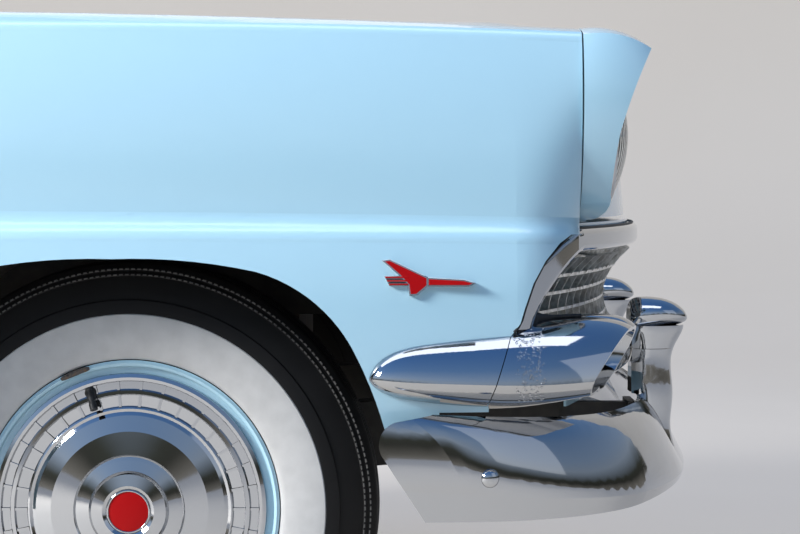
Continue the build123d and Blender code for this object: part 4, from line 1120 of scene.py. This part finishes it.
class FRONTEND_OT_suspension(bpy.types.Operator):
    """Winds the coil springs round their shock absorbers and fits rubber boots to the ball joints"""

    bl_idname = "frontend.suspension"
    bl_label = "Suspension"

    def execute(self, context):
        sizes = context.scene.front_end_coils
        wire, paint, rubber = spring_steel(), chassis_paint(), seal_rubber()
        outside, aside, flat_turns = 0.0475, 0.452, 0.75
        radius = outside - sizes.wire
        low, high = COIL_LOW.z + sizes.wire, COIL_HIGH.z - sizes.wire
        # The shock absorber's body and rod. Columns: radius, height
        shock = [
            (0, 0.004), (0.021, 0.004), (0.021, 0.128), (0.018, 0.132), (0.0085, 0.132), (0.0085, 0.228),
            (0, 0.228),
        ]
        coils, shocks = bmesh.new(), bmesh.new()
        for _, side in SIDES:
            path = []
            steps = int(sizes.turns * 28)
            for i in range(steps + 1):
                turn = sizes.turns * i / steps
                # The end turns lie flat
                rise = min(1.0, max(0.0, (turn - flat_turns) / (sizes.turns - 2 * flat_turns)))
                a = 2 * math.pi * turn
                x, y = AXLE.x + radius * math.cos(a), side * aside + radius * math.sin(a)
                path.append((x, y, low + (high - low) * rise))
            tube(coils, path, sizes.wire, 10)
            lathe(shocks, shock, (AXLE.x, side * aside, COIL_LOW.z), UP, 32)
        springs = new_piece("wound_springs", coils, 60, "nose", "chassis_black", wire)
        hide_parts("coil_springs")
        new_piece("shock_absorbers", shocks, 35, "nose", "chassis_black", paint)
        # A pleated boot. Columns: radius, height
        boot = [
            (0, 0.0), (0.015, 0.0), (0.021, 0.001), (0.017, 0.0025), (0.0205, 0.004), (0.0165, 0.0055),
            (0.0195, 0.007), (0.015, 0.008), (0, 0.008),
        ]
        for side_name, side in SIDES:
            bm = bmesh.new()
            for z, way in ((244, UP), (484, -UP)):
                lathe(bm, boot, at(0, side * 635, z), way, 28)
            new_piece(f"joint_boots_{side_name}", bm, 60, f"knuckle_{side_name}", "tyre_rubber", rubber)
        return {"FINISHED"}


class FRONTEND_OT_fasteners(bpy.types.Operator):
    """Sets out the bolts of the bumper, body joint, radiator support and hinges, and the frame's rivets"""

    bl_idname = "frontend.fasteners"
    bl_label = "Fasteners"

    def execute(self, context):
        # Heads in section. Columns: radius, height
        dome = [
            (0, 0.0072), (0.0046, 0.0067), (0.009, 0.005), (0.0122, 0.0018), (0.0128, -0.001), (0, -0.001),
        ]
        washer = [(0, 0.0), (0.0105, 0.0), (0.0105, 0.0015), (0, 0.0015)]
        flats = [
            (0, 0.0015), (0.0086, 0.0015), (0.0092, 0.0022), (0.0092, 0.0062), (0.008, 0.007), (0, 0.007),
        ]
        cap = [(0, 0.0036), (0.0035, 0.0031), (0.0061, 0.0016), (0.0068, -0.0004), (0, -0.0004)]
        on_bumper = [side_hit("bumper_bar", 498, side, 408) for _, side in SIDES]
        bolt = turned_mesh("carriage_bolt", dome, 32)
        studded("bumper_bolts", on_bumper, bolt, chrome_plate(), "nose", "chrome")
        body_bolts, rivets = [], []
        frame_rows = [(-545, 305), (-505, 305), (-545, 335), (-505, 335), (-40, 365), (0, 365), (40, 365)]
        iron_rows = [(360, 400), (380, 400), (400, 400)]
        for _, side in SIDES:
            # The body joint, the radiator support and the hinge brackets
            body_bolts += [(at(-596, side * 650, z), AHEAD) for z in (540, 900)]
            body_bolts += [(at(410, side * 430, z), AHEAD) for z in (500, 600, 700, 800, 900)]
            body_bolts += [(at(-505, side * 571, z), (0, side, 0)) for z in (955, 970)]
            rivets += [(at(x, side * 381, z), (0, side, 0)) for x, z in frame_rows + iron_rows]
        bm = bmesh.new()
        for profile, steps in ((washer, 24), (flats, 6)):
            lathe(bm, profile, (0, 0, 0), UP, steps)
        bolt = finished(bm, "hexagon_bolt")
        studded("body_bolts", body_bolts, bolt, bare_steel(), "nose", "bare_steel")
        rivet = turned_mesh("frame_rivet", cap, 16)
        studded("frame_rivets", rivets, rivet, chassis_paint(), "nose", "chassis_black")
        return {"FINISHED"}


class FRONTEND_OT_cooling(bpy.types.Operator):
    """Adds the radiator's fins, tubes and filler cap, and softens the corners of the block and radiator"""

    bl_idname = "frontend.cooling"
    bl_label = "Cooling"

    def execute(self, context):
        paint, steel = chassis_paint(), bare_steel()
        low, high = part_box("radiator")
        core_low, core_high = FLOOR_Z + 0.522, FLOOR_Z + 0.878
        tube_count, fin_count, margin = 45, 60, 0.012
        tubes, fins = [], []
        # The core's rear and front faces
        for x, way in ((AXLE.x + 0.412, -1.0), (AXLE.x + 0.46, 1.0)):
            for k in range(tube_count):
                y = low.y + margin + (high.y - low.y - 2 * margin) * k / (tube_count - 1)
                tubes.append((Vector((x, y, (core_low + core_high) / 2)), (way, 0, 0), UP))
            for k in range(fin_count):
                z = core_low + (core_high - core_low) * (k + 0.5) / fin_count
                fins.append((Vector((x, 0, z)), (way, 0, 0), (0, 1, 0)))
        tube_strip = strip_mesh("tube_strip", core_high - core_low, 2.6 * MM, 0.5 * MM)
        fin_strip = strip_mesh("fin_strip", high.y - low.y - 0.004, 0.9 * MM, 0.3 * MM)
        studded("radiator_tubes", tubes, tube_strip, paint, "nose", "chassis_black")
        studded("radiator_fins", fins, fin_strip, paint, "nose", "chassis_black")
        cap = bmesh.new()
        turned = [
            (0, -0.002), (0.019, -0.002), (0.019, 0.005), (0.027, 0.006), (0.029, 0.009), (0.029, 0.014),
            (0.026, 0.0165), (0.01, 0.0175), (0.008, 0.02), (0, 0.0205),
        ]
        lathe(cap, turned, (AXLE.x + 0.445, -0.14, high.z), UP, 40)
        new_piece("filler_cap", cap, 40, "nose", "bare_steel", steel)
        for node, width in (("engine_block", 9.0), ("radiator", 4.0)):
            bevel = NODES[node].modifiers.new("soft_corners", "BEVEL")
            bevel.width = width * MM
            bevel.segments = 3
            bevel.limit_method = "ANGLE"
        return {"FINISHED"}


class FRONTEND_PT_panel(bpy.types.Panel):
    """Lists the settings and the pieces in the sidebar"""

    bl_idname = "FRONTEND_PT_panel"
    bl_label = "Front End"
    bl_space_type = "VIEW_3D"
    bl_region_type = "UI"
    bl_category = "Front End"

    def draw(self, context):
        scene = context.scene
        layout = self.layout
        for holder, _ in SETTINGS:
            settings = getattr(scene, holder)
            for name in settings.__annotations__:
                layout.prop(settings, name)
        for step in STEPS:
            layout.operator(step.bl_idname)


SETTINGS = (
    ("front_end_paint", PaintSettings),
    ("front_end_tyres", TyreSettings),
    ("front_end_wheels", WheelSettings),
    ("front_end_lamps", LampSettings),
    ("front_end_coils", CoilSettings),
    ("front_end_drops", DropSettings),
    ("front_end_camera", CameraSettings),
)
STEPS = (
    FRONTEND_OT_stage,
    FRONTEND_OT_finishes,
    FRONTEND_OT_tyres,
    FRONTEND_OT_wheel_trim,
    FRONTEND_OT_headlamps,
    FRONTEND_OT_pod_dressing,
    FRONTEND_OT_darts,
    FRONTEND_OT_seals,
    FRONTEND_OT_suspension,
    FRONTEND_OT_fasteners,
    FRONTEND_OT_cooling,
)


def register():
    """Registers every class and hangs the settings on the scene."""
    for name, settings in SETTINGS:
        bpy.utils.register_class(settings)
        setattr(bpy.types.Scene, name, PointerProperty(type=settings))
    for step in STEPS:
        bpy.utils.register_class(step)
    bpy.utils.register_class(FRONTEND_PT_panel)


def unregister():
    """Takes the classes and settings away again."""
    bpy.utils.unregister_class(FRONTEND_PT_panel)
    for step in reversed(STEPS):
        bpy.utils.unregister_class(step)
    for name, settings in reversed(SETTINGS):
        delattr(bpy.types.Scene, name)
        bpy.utils.unregister_class(settings)


def main():
    """Makes every piece in order."""
    register()
    for step in STEPS:
        family, name = step.bl_idname.split(".")
        getattr(getattr(bpy.ops, family), name)()


if __name__ == "__main__":
    main()
